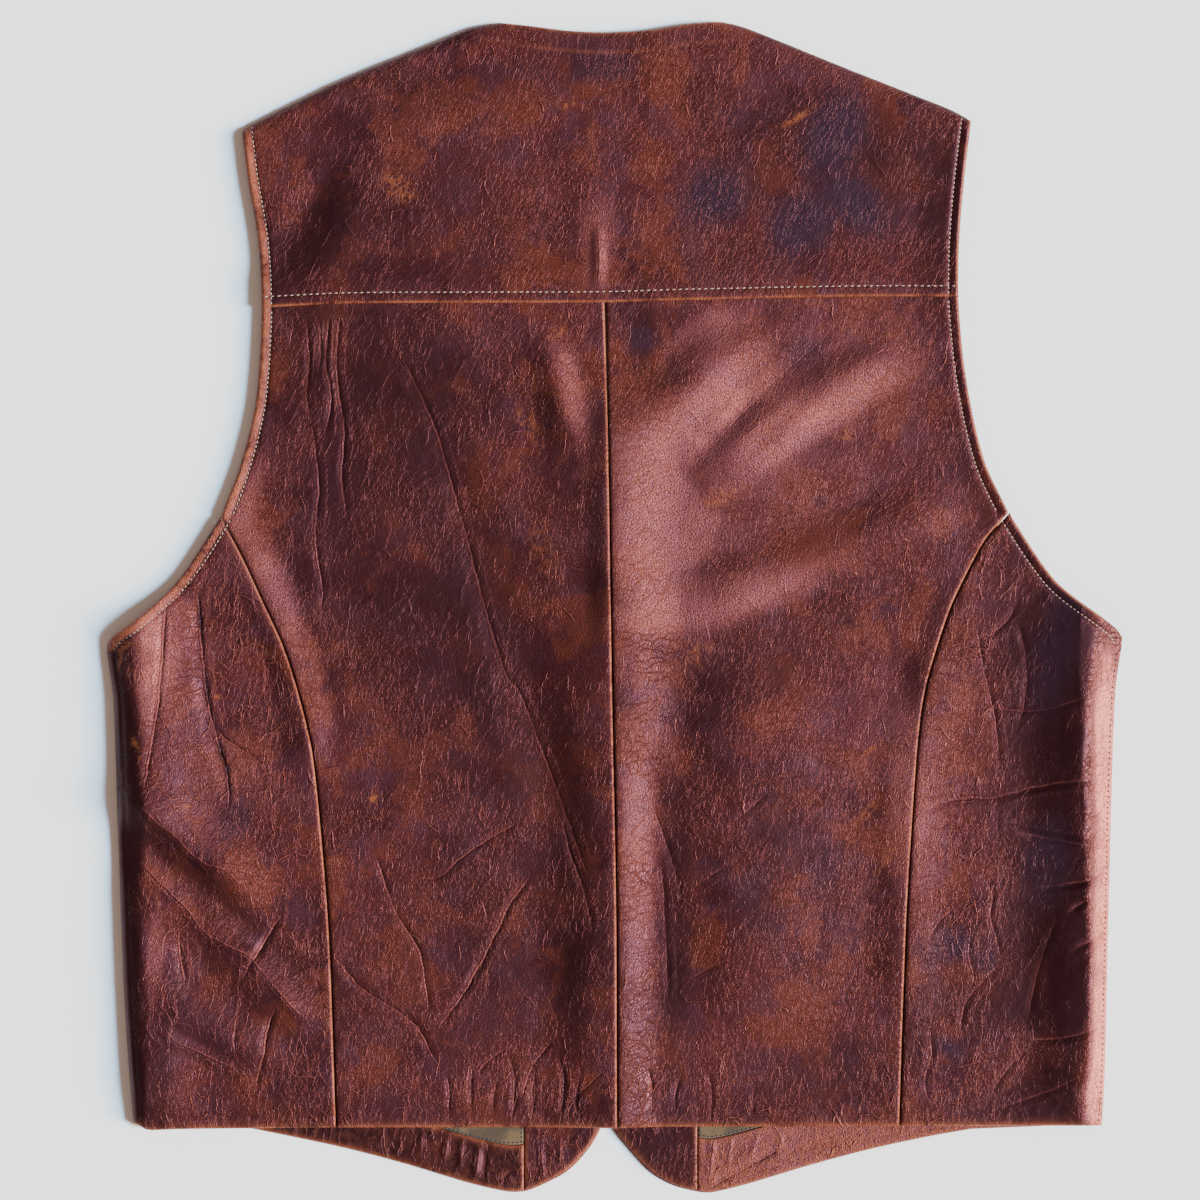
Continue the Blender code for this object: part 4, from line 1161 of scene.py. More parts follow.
def facing_outlines(side):
    """Front facing, hem facing and lining of a front."""
    sign, seam_x = SIGN[side], FACING_SEAM_X[side]
    edge = front_edge(side)
    seam_width = abs(seam_x - edge[0, 0])
    edge[:, 0] += sign * FACING_INSET
    edge[:, 1] += FACING_INSET * ease((FRONT_TIP_START_Y - edge[:, 1]) / seam_width)
    beyond_seam = sign * (edge[:, 0] - seam_x)
    tip_at_seam = np.interp(0.0, beyond_seam, edge[:, 1])
    neck_point = shoulder_line["left"][-1] if side == "left" else shoulder_line["right"][0]
    neck_end = neck_point + np.array([sign * FACING_INSET, -2.0 * ROLL_RADIUS])
    seam_top = neck_end + np.array([sign * seam_width, -SHOULDER_SLOPE * seam_width])
    front_facing = np.vstack([
        [neck_end],
        edge[beyond_seam < -CORNER_GAP],
        [(seam_x, tip_at_seam), (seam_x, NECK_V_POINT_Y)],
        [seam_top],
    ])

    start_x = seam_x + sign * LAYER_GAP
    side_x = side_line[side][-1, 0] - sign * ROLL_RADIUS
    hem_edge = np.vstack([
        [(start_x, tip_at_seam)],
        edge[beyond_seam > BAND_CORNER_GAP],
        [(side_x, HIDDEN_HEM_Y + FACING_INSET)],
    ])
    band_top = hem_edge + np.array([0.0, HEM_FACING_WIDTH[side]])
    hem_facing = np.vstack([hem_edge, band_top[::-1]])

    armhole = front_armhole(side)
    armhole[:, 0] -= sign * ROLL_RADIUS
    lining = np.vstack([
        band_top + np.array([0.0, LAYER_GAP]),
        [(side_line[side][0, 0] - sign * 2.0 * ROLL_RADIUS, armhole[-1, 1] - ROLL_RADIUS)],
        armhole[::-1][1:LINING_ARMHOLE_END],
        [seam_top + np.array([sign * 2.0 * LAYER_GAP, -ROLL_RADIUS])],
        [(start_x, NECK_V_POINT_Y)],
    ])
    return front_facing, hem_facing, lining


print("points round the left front:", len(front_outline("left")))

# %% Filled flat pieces
SHOWN_BELOW_Y = -286.0
FINE_STEP = 1.3
COARSE_STEP = 9.0
STAGGERED_ROW = 0.866
MERGE_DISTANCE = 1e-6
LIP_CALM_ZONE = 3.0
LIP_RINGS = [0.35, 0.9]
LIP = edge_profile((0.0, -0.75, 1.0), (0.35, -0.25, 0.9), (0.9, 0.0, 0.45), (2.2, 0.06, 0.1), (4.0, 0.0, 0.0))


def even_outline(outline):
    """Closed outline with points close together only where it shows."""
    rows = []
    for first, last in zip(outline, np.roll(outline, -1, axis=0)):
        span = np.linalg.norm(last - first)
        step = FINE_STEP if min(first[1], last[1]) < SHOWN_BELOW_Y else COARSE_STEP
        count = max(1, int(round(span / step)))
        rows.append(first + np.linspace(0.0, 1.0, count, endpoint=False)[:, None] * (last - first))
    return np.vstack(rows)


def twice_area(outline):
    """Twice the signed area of an outline, above zero if it runs anticlockwise."""
    ahead = np.roll(outline, -1, axis=0)
    return float((outline[:, 0] * ahead[:, 1] - outline[:, 1] * ahead[:, 0]).sum())


def inside(points, outline):
    """Whether each point lies within a closed outline."""
    odd = np.zeros(len(points), bool)
    for (x0, y0), (x1, y1) in zip(outline, np.roll(outline, -1, axis=0)):
        crosses = (y0 > points[:, 1]) != (y1 > points[:, 1])
        reach = (x1 - x0) * (points[:, 1] - y0) / (y1 - y0 if y1 != y0 else 1.0) + x0
        odd ^= crosses & (points[:, 0] < reach)
    return odd


def fill_points(outline, step, low_y, high_y):
    """Points of a staggered grid within part of an outline."""
    (x0, y0), (x1, y1) = outline.min(axis=0), outline.max(axis=0)
    y0, y1 = max(y0, low_y), min(y1, high_y)
    if y1 <= y0:
        return np.empty((0, 2))
    y = np.arange(y0, y1, STAGGERED_ROW * step)
    x = np.arange(x0, x1, step)
    grid_x, grid_y = np.meshgrid(x, y)
    grid_x = grid_x + 0.5 * step * (np.arange(len(y)) % 2)[:, None]
    points = np.column_stack([grid_x.ravel(), grid_y.ravel()])
    return points[inside(points, outline)]


def outline_points(outline):
    """Points that fill an outline: its own, rings beside it and a grid within."""
    closed = np.vstack([outline, outline[:1]])
    tangent = np.roll(outline, -1, axis=0) - np.roll(outline, 1, axis=0)
    inward = np.column_stack([-tangent[:, 1], tangent[:, 0]])
    inward /= np.linalg.norm(inward, axis=1, keepdims=True)
    rings = np.vstack([outline + inward * ring for ring in LIP_RINGS])
    ring_distance = distance_in_blocks(rings, closed)
    rings = rings[(ring_distance > 0.8 * LIP_RINGS[0]) & inside(rings, outline)]
    fill = np.vstack([
        fill_points(outline, FINE_STEP, -math.inf, SHOWN_BELOW_Y),
        fill_points(outline, COARSE_STEP, SHOWN_BELOW_Y + 0.5 * COARSE_STEP, math.inf),
    ])
    fill_gap = np.where(fill[:, 1] < SHOWN_BELOW_Y, 0.5 * FINE_STEP, 0.4 * COARSE_STEP)
    fill = fill[distance_in_blocks(fill, closed) > LIP_RINGS[-1] + fill_gap]
    return np.vstack([outline, rings, fill])


def filled(outline):
    """Points and triangles of the mesh that fills an outline."""
    loop = [list(range(len(outline)))]
    start = [tuple(point) for point in outline_points(outline)]
    made = delaunay_2d_cdt(start, [], loop, 1, MERGE_DISTANCE)
    points = np.array([tuple(point) for point in made[0]])
    used = sorted({index for face in made[2] for index in face})
    renumber = {old: new for new, old in enumerate(used)}
    return points[used], [[renumber[index] for index in face] for face in made[2]]


def flat_shell_faces(triangles, count):
    """Faces of a flat shell: the triangles, their copies below and the rim between them."""
    faces = triangles + [[count + index for index in reversed(face)] for face in triangles]
    directed = {(a, b) for face in triangles for a, b in zip(face, face[1:] + face[:1])}
    rim = [(a, b) for a, b in sorted(directed) if (b, a) not in directed]
    return faces + [[b, a, count + a, count + b] for a, b in rim]


print("rings of points beside an edge:", len(LIP_RINGS))

# %% Build the fronts' pieces
FlatPiece = namedtuple(
    "FlatPiece", "name outline low thickness creased crackle tone rub", defaults=(0.0, 0.0, 0.0, 0.0)
)


def make_flat_piece(plan, piece_number):
    """Flat piece with a rounded lip, as a closed shell with all its vertex values, and its area."""
    outline = plan.outline if twice_area(plan.outline) >= 0.0 else plan.outline[::-1]
    outline = even_outline(fewest_points(outline))
    points, triangles = filled(outline)
    count = len(points)
    distance = distance_in_blocks(points, np.vstack([outline, outline[:1]]))
    calm = ease(distance / LIP_CALM_ZONE)
    rise, pull, beside = plan.creased * np.array(crease_height(points))
    top = plan.low + plan.thickness + np.interp(distance, LIP.distance, LIP.rise)
    outer = np.column_stack([points, top + rise * calm])
    inner = np.column_stack([points, np.full(count, plan.low)])

    place = place_on_hide(points, piece_number)
    outer_values = {
        "wear": np.interp(distance, LIP.distance, LIP.wear),
        "pull": pull,
        "beside": beside,
        "calm": calm,
        "crackle": np.full(count, plan.crackle),
        "dark": np.zeros(count),
        "rub": np.full(count, plan.rub),
        "tone": np.full(count, plan.tone),
    }
    values = {"cut": np.vstack([place, place]), **shell_values(outer_values, count)}
    faces = flat_shell_faces(triangles, count)
    piece = add_mesh(plan.name, np.vstack([outer, inner]), faces, values)
    print(plan.name, len(faces), "faces")
    return piece, abs(twice_area(outline)) * 0.5


FRONT_LEATHER = 1.5
FACING_LEATHER = 1.3
LINING_CLOTH = 1.0
FRONT_CRACKLE = 0.3
FACING_CRACKLE = 1.2
FACING_TONE = {"left": -0.3, "right": -0.75}
BAND_TONE = {"left": -0.95, "right": 0.80}
BAND_RUB = {"left": 0.1, "right": 0.5}
INSIDE_LEVEL = FRONT_LEATHER + LAYER_GAP


def front_plans(side):
    """Plans of the four pieces of a front, by the node that each stands for."""
    front_facing, hem_facing, lining = facing_outlines(side)
    return {
        "front_" + side: FlatPiece(
            "front_leather_" + side, front_outline(side), 0.0, FRONT_LEATHER, crackle=FRONT_CRACKLE
        ),
        "front_facing_" + side: FlatPiece(
            "front_edge_facing_" + side, front_facing, INSIDE_LEVEL, FACING_LEATHER,
            creased=1.0, crackle=FACING_CRACKLE, tone=FACING_TONE[side],
        ),
        "hem_facing_" + side: FlatPiece(
            "hem_band_" + side, hem_facing, INSIDE_LEVEL, FACING_LEATHER,
            creased=1.0, crackle=FACING_CRACKLE, tone=BAND_TONE[side], rub=BAND_RUB[side],
        ),
        "front_lining_" + side: FlatPiece("khaki_lining_" + side, lining, INSIDE_LEVEL, LINING_CLOTH),
    }


cut_area = {}
lining_pieces = {}
for number, side in enumerate(SIDES, 10):
    for offset, (node, plan) in enumerate(front_plans(side).items()):
        piece, area = make_flat_piece(plan, number + 2 * offset)
        cut_area[node] = area * MM * MM
        (lining_pieces if node.startswith("front_lining") else leather_pieces)[node] = piece

# %% [markdown]
# ## Node maths
#
# Both the wrinkles, which move the mesh, and the finish, which colours it, are made of nodes. One small class
# wraps a socket so that formulas can be written in Python: each operator adds a Math node, and any other node
# comes from one method that sets the node's settings first and then its sockets.

# %% The wire class
class Wire:
    """An output socket of a node tree, with arithmetic on values."""

    def __init__(self, tree, socket=None):
        self.tree = tree
        self.socket = socket

    def node(self, kind, settings=None, inputs=None, out=0):
        """New node with its settings and then its socket values or links."""
        made = self.tree.nodes.new(kind)
        for name, value in (settings or {}).items():
            setattr(made, name, value)
        for name, value in (inputs or {}).items():
            if isinstance(value, Wire):
                self.tree.links.new(value.socket, made.inputs[name])
            else:
                made.inputs[name].default_value = value
        return Wire(self.tree, made.outputs[out])

    def into(self, node, name):
        """Link to a named input of a node."""
        self.tree.links.new(self.socket, node.inputs[name])

    def maths(self, operation, first, second=0.0):
        """Math node on two values."""
        return self.node("ShaderNodeMath", {"operation": operation}, {0: first, 1: second})

    def __add__(self, other):
        return self.maths("ADD", self, other)

    def __sub__(self, other):
        return self.maths("SUBTRACT", self, other)

    def __rsub__(self, other):
        return self.maths("SUBTRACT", other, self)

    def __mul__(self, other):
        return self.maths("MULTIPLY", self, other)

    def __abs__(self):
        return self.maths("ABSOLUTE", self)

    __radd__ = __add__
    __rmul__ = __mul__


def vector_maths(operation, first, second):
    """Vector Math node on two vectors, the first a wire."""
    return first.node("ShaderNodeVectorMath", {"operation": operation}, {0: first, 1: second})


def smooth(value, low, high):
    """Smooth step of a value between two levels."""
    inputs = {"Value": value, "From Min": low, "From Max": high}
    return value.node("ShaderNodeMapRange", {"interpolation_type": "SMOOTHSTEP"}, inputs)


def greater(first, second):
    """The greater of two values."""
    return first.maths("MAXIMUM", first, second)


def cloud(where, size, detail=2.0, rough=0.5):
    """Noise whose lumps are about the given size in metres."""
    inputs = {"Vector": where, "Scale": 1.0 / size, "Detail": detail, "Roughness": rough}
    return where.node("ShaderNodeTexNoise", {"noise_dimensions": "2D"}, inputs)


def mixed(factor, first, second):
    """Colour between two colours."""
    inputs = {0: factor, 6: first, 7: second}
    return factor.node("ShaderNodeMix", {"data_type": "RGBA"}, inputs, 2)


print("node maths ready")

# %% [markdown]
# ## Wrinkles of the leather
#
# Bent leather breaks into fine crinkles, and where it is bent often, as near the hem and the sides, into a
# net of longer cracks. Wave textures would give lines that are too even, so both are borders between Voronoi
# cells, turned, stretched and bent by noise: small round cells for the crinkles, long ones for the net. The
# strips beside the lines are the shade at the foot of each ridge. One function builds them for the mesh, with
# the lines widened to suit its grid, and for the colour, so a lighter line always lies on a real ridge.

# %% Crinkles and cracks
Cells = namedtuple("Cells", "degrees length width thin")

STEEP_CRINKLES = Cells(62.0, 0.0062, 0.0047, 0.058)
FLAT_CRINKLES = Cells(14.0, 0.0062, 0.0047, 0.058)
TINY_CRINKLES = Cells(40.0, 0.0030, 0.0023, 0.095)
RUNNING_CRACKS = Cells(47.0, 0.026, 0.0085, 0.028)
LONG_CRACKS = Cells(84.0, 0.036, 0.0120, 0.028)
SHORT_CRACKS = Cells(70.0, 0.018, 0.0066, 0.040)
DRIFT_BEND = (0.026, 0.010)
LOOSE_BEND = (0.0060, 0.0024)
LONG_BEND = (0.010, 0.005)
SHORT_BEND = (0.007, 0.003)
LEAN_CLOUD = 0.050
CLUSTER_CLOUD = 0.036
BREAK_CLOUD = 0.0085
RUN_CLOUD = 0.021
TORN_CLOUD = 0.019
SHADE_REACH = 2.6
TINY_SHARE = 0.55
SHORT_SHARE = 0.75
RUNNING_SHARE = 0.6
CRINKLE_SHADE_SHARE = 0.7


def bent(where, size, reach):
    """Place moved about by a noise of the given size."""
    inputs = {"Vector": where, "Scale": 1.0 / size, "Detail": 2.0}
    wander = where.node("ShaderNodeTexNoise", {"noise_dimensions": "2D"}, inputs, 1)
    centred = vector_maths("SUBTRACT", wander, (0.5, 0.5, 0.5))
    return vector_maths("ADD", vector_maths("MULTIPLY", centred, (reach, reach, 0.0)), where)


def stretched(where, cells):
    """Place turned so that the cells lie along X, in units of their length and width."""
    inputs = {"Vector": where, "Angle": -math.radians(cells.degrees)}
    turned = where.node("ShaderNodeVectorRotate", {"rotation_type": "Z_AXIS"}, inputs)
    return vector_maths("MULTIPLY", turned, (1.0 / cells.length, 1.0 / cells.width, 0.0))


def cracks(where, cells, widen):
    """Borders between stretched cells, and the shade beside them."""
    thin = cells.thin * widen
    settings = {"voronoi_dimensions": "2D", "feature": "DISTANCE_TO_EDGE"}
    inputs = {"Vector": stretched(where, cells), "Scale": 1.0}
    apart = where.node("ShaderNodeTexVoronoi", settings, inputs)
    line = 1.0 - smooth(apart, 0.0, thin)
    return line, (1.0 - smooth(apart, thin, SHADE_REACH * thin)) - line


def crinkle_lines(cut, drift, widen):
    """Fine crinkles that lean one way or the other, their shade, their clusters and the bent place."""
    loose = bent(drift, *LOOSE_BEND)
    lean = smooth(cloud(cut, LEAN_CLOUD), 0.44, 0.56)
    steep, steep_shade = cracks(loose, STEEP_CRINKLES, widen)
    flat, flat_shade = cracks(loose, FLAT_CRINKLES, widen)
    tiny, _ = cracks(loose, TINY_CRINKLES, widen)
    clusters = smooth(cloud(drift, CLUSTER_CLOUD, 3.0), 0.38, 0.60)
    broken = smooth(cloud(loose, BREAK_CLOUD, 2.0), 0.16, 0.42)
    shown = broken * (0.3 + 0.7 * clusters)
    tiny_lines = tiny * TINY_SHARE * (0.35 + 0.65 * clusters)
    fine = greater((steep * (1.0 - lean) + flat * lean) * shown, tiny_lines)
    fine_shade = (steep_shade * (1.0 - lean) + flat_shade * lean) * shown
    return fine, fine_shade, clusters, loose


def leather_lines(cut, crackle, widen):
    """Fine crinkles, longer cracks, the shade beside both, and the clusters of the crinkles."""
    drift = bent(cut, *DRIFT_BEND)
    fine, fine_shade, clusters, loose = crinkle_lines(cut, drift, widen)
    runs, runs_shade = cracks(loose, RUNNING_CRACKS, widen)
    run_places = smooth(cloud(cut, RUN_CLOUD, 2.0), 0.44, 0.58) * RUNNING_SHARE
    long_cracks, long_shade = cracks(bent(drift, *LONG_BEND), LONG_CRACKS, widen)
    short_cracks, short_shade = cracks(bent(drift, *SHORT_BEND), SHORT_CRACKS, widen)
    torn = smooth(cloud(cut, TORN_CLOUD, 2.0), 0.38, 0.56) * crackle
    net = greater(greater(long_cracks, short_cracks * SHORT_SHARE) * torn, runs * run_places)
    net_shade = greater(greater(long_shade, short_shade * SHORT_SHARE) * torn, runs_shade * run_places)
    return fine, net, greater(fine_shade * CRINKLE_SHADE_SHARE, net_shade), clusters


print("crinkles are about", round(STEEP_CRINKLES.length / MM, 1), "mm long")

# %% Wrinkle the panels with Geometry Nodes
CRINKLE_HEIGHT = 0.00003
CRACK_HEIGHT = 0.00030
MESH_LINE_WIDENING = 2.4
SWELL_SIZE = 0.012


def new_tree(name, inputs):
    """Geometry Nodes tree with named inputs, and the identifiers of those inputs."""
    tree = bpy.data.node_groups.new(name, "GeometryNodeTree")
    tree.interface.new_socket("Geometry", in_out="INPUT", socket_type="NodeSocketGeometry")
    keys = {}
    for label, kind in inputs.items():
        keys[label] = tree.interface.new_socket(label, in_out="INPUT", socket_type=kind).identifier
    tree.interface.new_socket("Geometry", in_out="OUTPUT", socket_type="NodeSocketGeometry")
    return tree, keys


def end_tree(tree, wire):
    """Link a wire to the tree's output."""
    last = tree.nodes.new("NodeGroupOutput")
    tree.links.new(wire.socket, last.inputs[0])


def wrinkle_tree():
    """Tree that raises the crinkles and cracks out of a panel."""
    heights = {"Crinkle Height": "NodeSocketFloat", "Crack Height": "NodeSocketFloat"}
    tree, keys = new_tree("leather_wrinkles", heights)
    start = Wire(tree)
    given = tree.nodes.new("NodeGroupInput")
    mesh, crinkle_height, crack_height = (Wire(tree, given.outputs[index]) for index in range(3))
    cut = start.node("GeometryNodeInputNamedAttribute", {"data_type": "FLOAT_VECTOR"}, {"Name": "cut"})
    crackle = start.node("GeometryNodeInputNamedAttribute", {"data_type": "FLOAT"}, {"Name": "crackle"})
    calm = start.node("GeometryNodeInputNamedAttribute", {"data_type": "FLOAT"}, {"Name": "calm"})
    fine, net, _, _ = leather_lines(cut, crackle, MESH_LINE_WIDENING)
    swell = cloud(cut, SWELL_SIZE, 2.0) - 0.5
    height = (fine * crinkle_height + net * crack_height + swell * crack_height) * calm
    normal = start.node("GeometryNodeInputNormal")
    offset = start.node("ShaderNodeVectorMath", {"operation": "SCALE"}, {0: normal, "Scale": height})
    end_tree(tree, start.node("GeometryNodeSetPosition", None, {"Geometry": mesh, "Offset": offset}))
    return tree, keys


def apply_tree(piece, tree, settings):
    """Run a tree on an object and keep the result as its plain mesh."""
    modifier = piece.modifiers.new("shape", "NODES")
    modifier.node_group = tree
    for key, value in settings.items():
        modifier[key] = value
    graph = bpy.context.evaluated_depsgraph_get()
    made = bpy.data.meshes.new_from_object(piece.evaluated_get(graph), depsgraph=graph)
    if piece.type == "MESH":
        old = piece.data
        piece.modifiers.remove(modifier)
        piece.data = made
        bpy.data.meshes.remove(old)
        return piece
    result = add_object(piece.name + "_mesh", made)
    bpy.data.objects.remove(piece)
    return result


wrinkles, wrinkle_keys = wrinkle_tree()
wrinkle_settings = {
    wrinkle_keys["Crinkle Height"]: CRINKLE_HEIGHT,
    wrinkle_keys["Crack Height"]: CRACK_HEIGHT,
}
for piece in leather_pieces.values():
    apply_tree(piece, wrinkles, wrinkle_settings)
print("wrinkled pieces:", len(leather_pieces))

# %% [markdown]
# ## The leather's finish
#
# Waxed pull-up leather is a deep red-brown that shifts towards maroon, mauve and rust in soft clouds. Bent
# lines and rubbed edges lighten to orange, because the wax moves away there. It is half glossy. The material
# blends the hide's colours with noise on the flat cut, lays the crinkles and cracks over them with the same
# function as the mesh, and takes the tones, creases, marks and edge wear from the vertices. Part of the colour
# is painted light and shade: painted shade beside the lines, a painted highlight and painted shade on the two
# flanks of each crease, tones that are partly painted light and shade, and a painted highlight on the lit
# edges. An image texture could do the same, but noise stays sharp at any size and needs no file.

# %% Leather material
MAROON = (0.0122, 0.0026, 0.0036, 1.0)
RED_BROWN = (0.0300, 0.0062, 0.0068, 1.0)
MAUVE = (0.0280, 0.0095, 0.0165, 1.0)
RUST = (0.0720, 0.0165, 0.0074, 1.0)
CRINKLE_PINK = (0.1200, 0.0320, 0.0260, 1.0)
CRACK_ORANGE = (0.1500, 0.0420, 0.0290, 1.0)
RUB_ORANGE = (0.1700, 0.0500, 0.0170, 1.0)
EDGE_ORANGE = (0.2000, 0.0600, 0.0280, 1.0)
# The next three colours: the lighter tone, partly painted light; a painted highlight; the deeper tone, also
# used as painted shade beside the lines and on the creases' dark flanks
PULLED_AND_LIT = (0.1350, 0.0400, 0.0430, 1.0)
PAINTED_HIGHLIGHT = (0.5600, 0.1650, 0.1400, 1.0)
DEEP = (0.0050, 0.0014, 0.0020, 1.0)
INK = (0.0070, 0.0034, 0.0066, 1.0)
INK_BLUE = (0.0085, 0.0062, 0.0130, 1.0)
REFLECTION_TINT = (1.0, 0.33, 0.39, 1.0)
BROAD_CLOUD = 0.080
MIDDLE_CLOUD = 0.027
SMALL_CLOUD = 0.0045
RUST_CLOUD = 0.046
RUST_BEND = (0.03, 0.02)
PEBBLE = 0.0011
CREASE_WANDER = 1.6
CREASE_WANDER_SIZE = 0.007
CREASE_FLANK = 0.45
LEATHER_BUMP = 0.00026
DEEP_BUMP_LOSS = 0.7
LEATHER_IOR = 1.48


def new_material(name):
    """Material with its node tree, its Principled shader and a wire to start from."""
    material = bpy.data.materials.new(name)
    material.use_nodes = True
    tree = material.node_tree
    return material, tree.nodes["Principled BSDF"], Wire(tree)


def vertex_value(start, name):
    """Value kept at the vertices."""
    return start.node("ShaderNodeAttribute", {"attribute_name": name}, None, "Fac")


def hide_colour(cut, middle, clusters):
    """Clouds of the hide's own colours."""
    broad = cloud(cut, BROAD_CLOUD, 3.0, 0.55)
    rust = cloud(bent(cut, *RUST_BEND), RUST_CLOUD, 4.0, 0.65)
    colour = mixed(smooth(broad, 0.40, 0.58), MAROON, RED_BROWN)
    colour = mixed(smooth(middle, 0.44, 0.66) * 0.7, colour, MAUVE)
    colour = mixed(smooth(rust, 0.49, 0.64) * 0.8, colour, RUST)
    return mixed(clusters * 0.18, colour, RUST)


def marked_colour(start, colour, middle, small, fine):
    """Colour with its dark patches, orange rubs and worn edges, partly a painted highlight on the lit ones."""
    dark = vertex_value(start, "dark") * smooth(middle + 0.4 * small, 0.26, 0.62)
    colour = mixed(dark, colour, INK_BLUE)
    rub = vertex_value(start, "rub") * smooth(small + 0.4 * fine, 0.40, 0.75)
    colour = mixed(rub, colour, RUB_ORANGE)
    # Worn edges, and on edges that face the light partly a painted highlight
    wear = vertex_value(start, "wear")
    return mixed(wear * smooth(middle + 0.6 * small, 0.45, 0.95), colour, EDGE_ORANGE)


def leather_material():
    """Waxed leather with clouds, crinkles, marks and worn edges."""
    material, shader, start = new_material("waxed_leather")
    cut = start.node("ShaderNodeAttribute", {"attribute_name": "cut"}, None, "Vector")
    fine, net, shade, clusters = leather_lines(cut, vertex_value(start, "crackle"), 1.0)
    middle = cloud(cut, MIDDLE_CLOUD, 4.0, 0.6)
    small = cloud(cut, SMALL_CLOUD, 3.0, 0.6)
    pebble_inputs = {"Vector": cut, "Scale": 1.0 / PEBBLE}
    pebble = start.node("ShaderNodeTexVoronoi", {"voronoi_dimensions": "2D"}, pebble_inputs)

    # Tones, partly painted light and shade, then pebbles, crinkles and cracks over the hide's own clouds
    colour = hide_colour(cut, middle, clusters)
    tone = vertex_value(start, "tone") * (0.35 + 1.3 * middle)
    # Lighter tones: the hide's own tone and painted light; above one, a painted highlight
    colour = mixed(greater(tone, 0.0), colour, PULLED_AND_LIT)
    colour = mixed(greater(tone - 1.0, 0.0), colour, PAINTED_HIGHLIGHT)
    colour = mixed(smooth(pebble, 0.30, 0.75) * 0.5, colour, INK)
    pulled_and_lit = smooth(tone, 0.1, 0.8)
    # Painted shade in the strips beside the lines, weaker where the tone is lighter
    colour = mixed(shade * (0.85 - 0.75 * pulled_and_lit), colour, DEEP)
    line_colour = mixed(pulled_and_lit, CRINKLE_PINK, EDGE_ORANGE)
    colour = mixed(fine * (0.48 + 0.20 * pulled_and_lit), colour, line_colour)
    colour = mixed(net * 0.52, colour, CRACK_ORANGE)
    # Deeper tones: the hide's own tone and painted shade
    deep = greater(tone * -1.0, 0.0)
    colour = mixed(deep, colour, DEEP)
    # Creases: a painted highlight on the flank that meets the light, painted shade on the other
    wander = (cloud(cut, CREASE_WANDER_SIZE, 2.0) - 0.5) * CREASE_WANDER
    beside = vertex_value(start, "beside") + wander
    pull = vertex_value(start, "pull")
    crease_light = (1.0 - smooth(abs(beside - CREASE_FLANK), 0.1, 0.8)) * pull
    crease_dark = (1.0 - smooth(abs(beside + CREASE_FLANK), 0.1, 0.8)) * pull
    colour = mixed(crease_light * smooth(small, 0.20, 0.50) * 0.8, colour, CRINKLE_PINK)
    colour = mixed(crease_dark * 0.85, colour, DEEP)
    colour = marked_colour(start, colour, middle, small, fine)
    colour.into(shader, "Base Color")

    roughness = 0.32 + 0.14 * middle + 0.10 * small + 0.12 * greater(fine, net)
    roughness.into(shader, "Roughness")
    lines = (fine + net * 1.5 - shade * 0.5) * (1.0 - 0.3 * pulled_and_lit)
    grain = small * 0.8 - pebble * (0.45 + 0.6 * pulled_and_lit)
    height = lines + grain + (crease_light - crease_dark) * 1.2
    height = height * (1.0 - DEEP_BUMP_LOSS * deep)
    bump_inputs = {"Strength": 1.0, "Distance": LEATHER_BUMP, "Height": height}
    bump = start.node("ShaderNodeBump", None, bump_inputs)
    bump.into(shader, "Normal")
    shader.inputs["IOR"].default_value = LEATHER_IOR
    shader.inputs["Specular IOR Level"].default_value = 0.5
    shader.inputs["Specular Tint"].default_value = REFLECTION_TINT
    return material


leather = leather_material()
print("leather nodes:", len(leather.node_tree.nodes))

# %% [markdown]
# ## The khaki lining
#
# The lining is a plain woven cotton, olive to khaki, a little soiled. Threads about half a millimetre wide go
# over and under each other: two sine waves across the cloth give the weave, and noise gives the soiling.

# %% Lining material
KHAKI = (0.110, 0.064, 0.028, 1.0)
OLIVE_SHADE = (0.016, 0.0100, 0.0055, 1.0)
THREAD_STEP = 0.00055
SOIL_CLOUD = 0.016
WEAVE_BUMP = 0.0002


def weave(cut):
    """Height of a plain weave at a place in the cut."""
    ring = math.pi / THREAD_STEP
    parts = cut.node("ShaderNodeSeparateXYZ", None, {"Vector": cut}).socket.node.outputs
    crosswise, lengthwise = (cut.maths("SINE", Wire(cut.tree, parts[axis]) * ring) for axis in (0, 1))
    return 0.5 + 0.5 * crosswise * lengthwise


def lining_material():
    """Khaki cotton with a plain weave."""
    material, shader, start = new_material("khaki_cotton")
    cut = start.node("ShaderNodeAttribute", {"attribute_name": "cut"}, None, "Vector")
    threads = weave(cut)
    soil = smooth(cloud(cut, SOIL_CLOUD, 3.0), 0.35, 0.68)
    colour = mixed(soil * 0.75, KHAKI, OLIVE_SHADE)
    # Darker where the threads dip: painted shade in the weave
    colour = mixed((1.0 - threads) * 0.4, colour, OLIVE_SHADE)
    colour.into(shader, "Base Color")
    bump = start.node("ShaderNodeBump", None, {"Strength": 0.6, "Distance": WEAVE_BUMP, "Height": threads})
    bump.into(shader, "Normal")
    shader.inputs["Roughness"].default_value = 0.9
    shader.inputs["Sheen Weight"].default_value = 0.15
    return material


cotton = lining_material()
for piece in leather_pieces.values():
    piece.data.materials.append(leather)
for piece in lining_pieces.values():
    piece.data.materials.append(cotton)
print("materials set on", len(leather_pieces) + len(lining_pieces), "pieces")

# %% [markdown]
# ## Stitches
#
# A sewing machine leaves a row of short thread lengths, each dipping into a needle hole at its ends: cream
# thread at the armholes and the yoke, dark thread down the left side and round the lining. A curve on the
# surface gives the row, and Geometry Nodes set one small rounded stitch at every pitch along it, turned with
# the row. The same tree sets the dark needle holes between them, as flat beads in another material. The
# instances are realized, so that the rows become plain meshes.

# %% Threads and the stitch tree
THREAD_CREAM = (0.46, 0.36, 0.27)
THREAD_BROWN = (0.011, 0.010, 0.015)
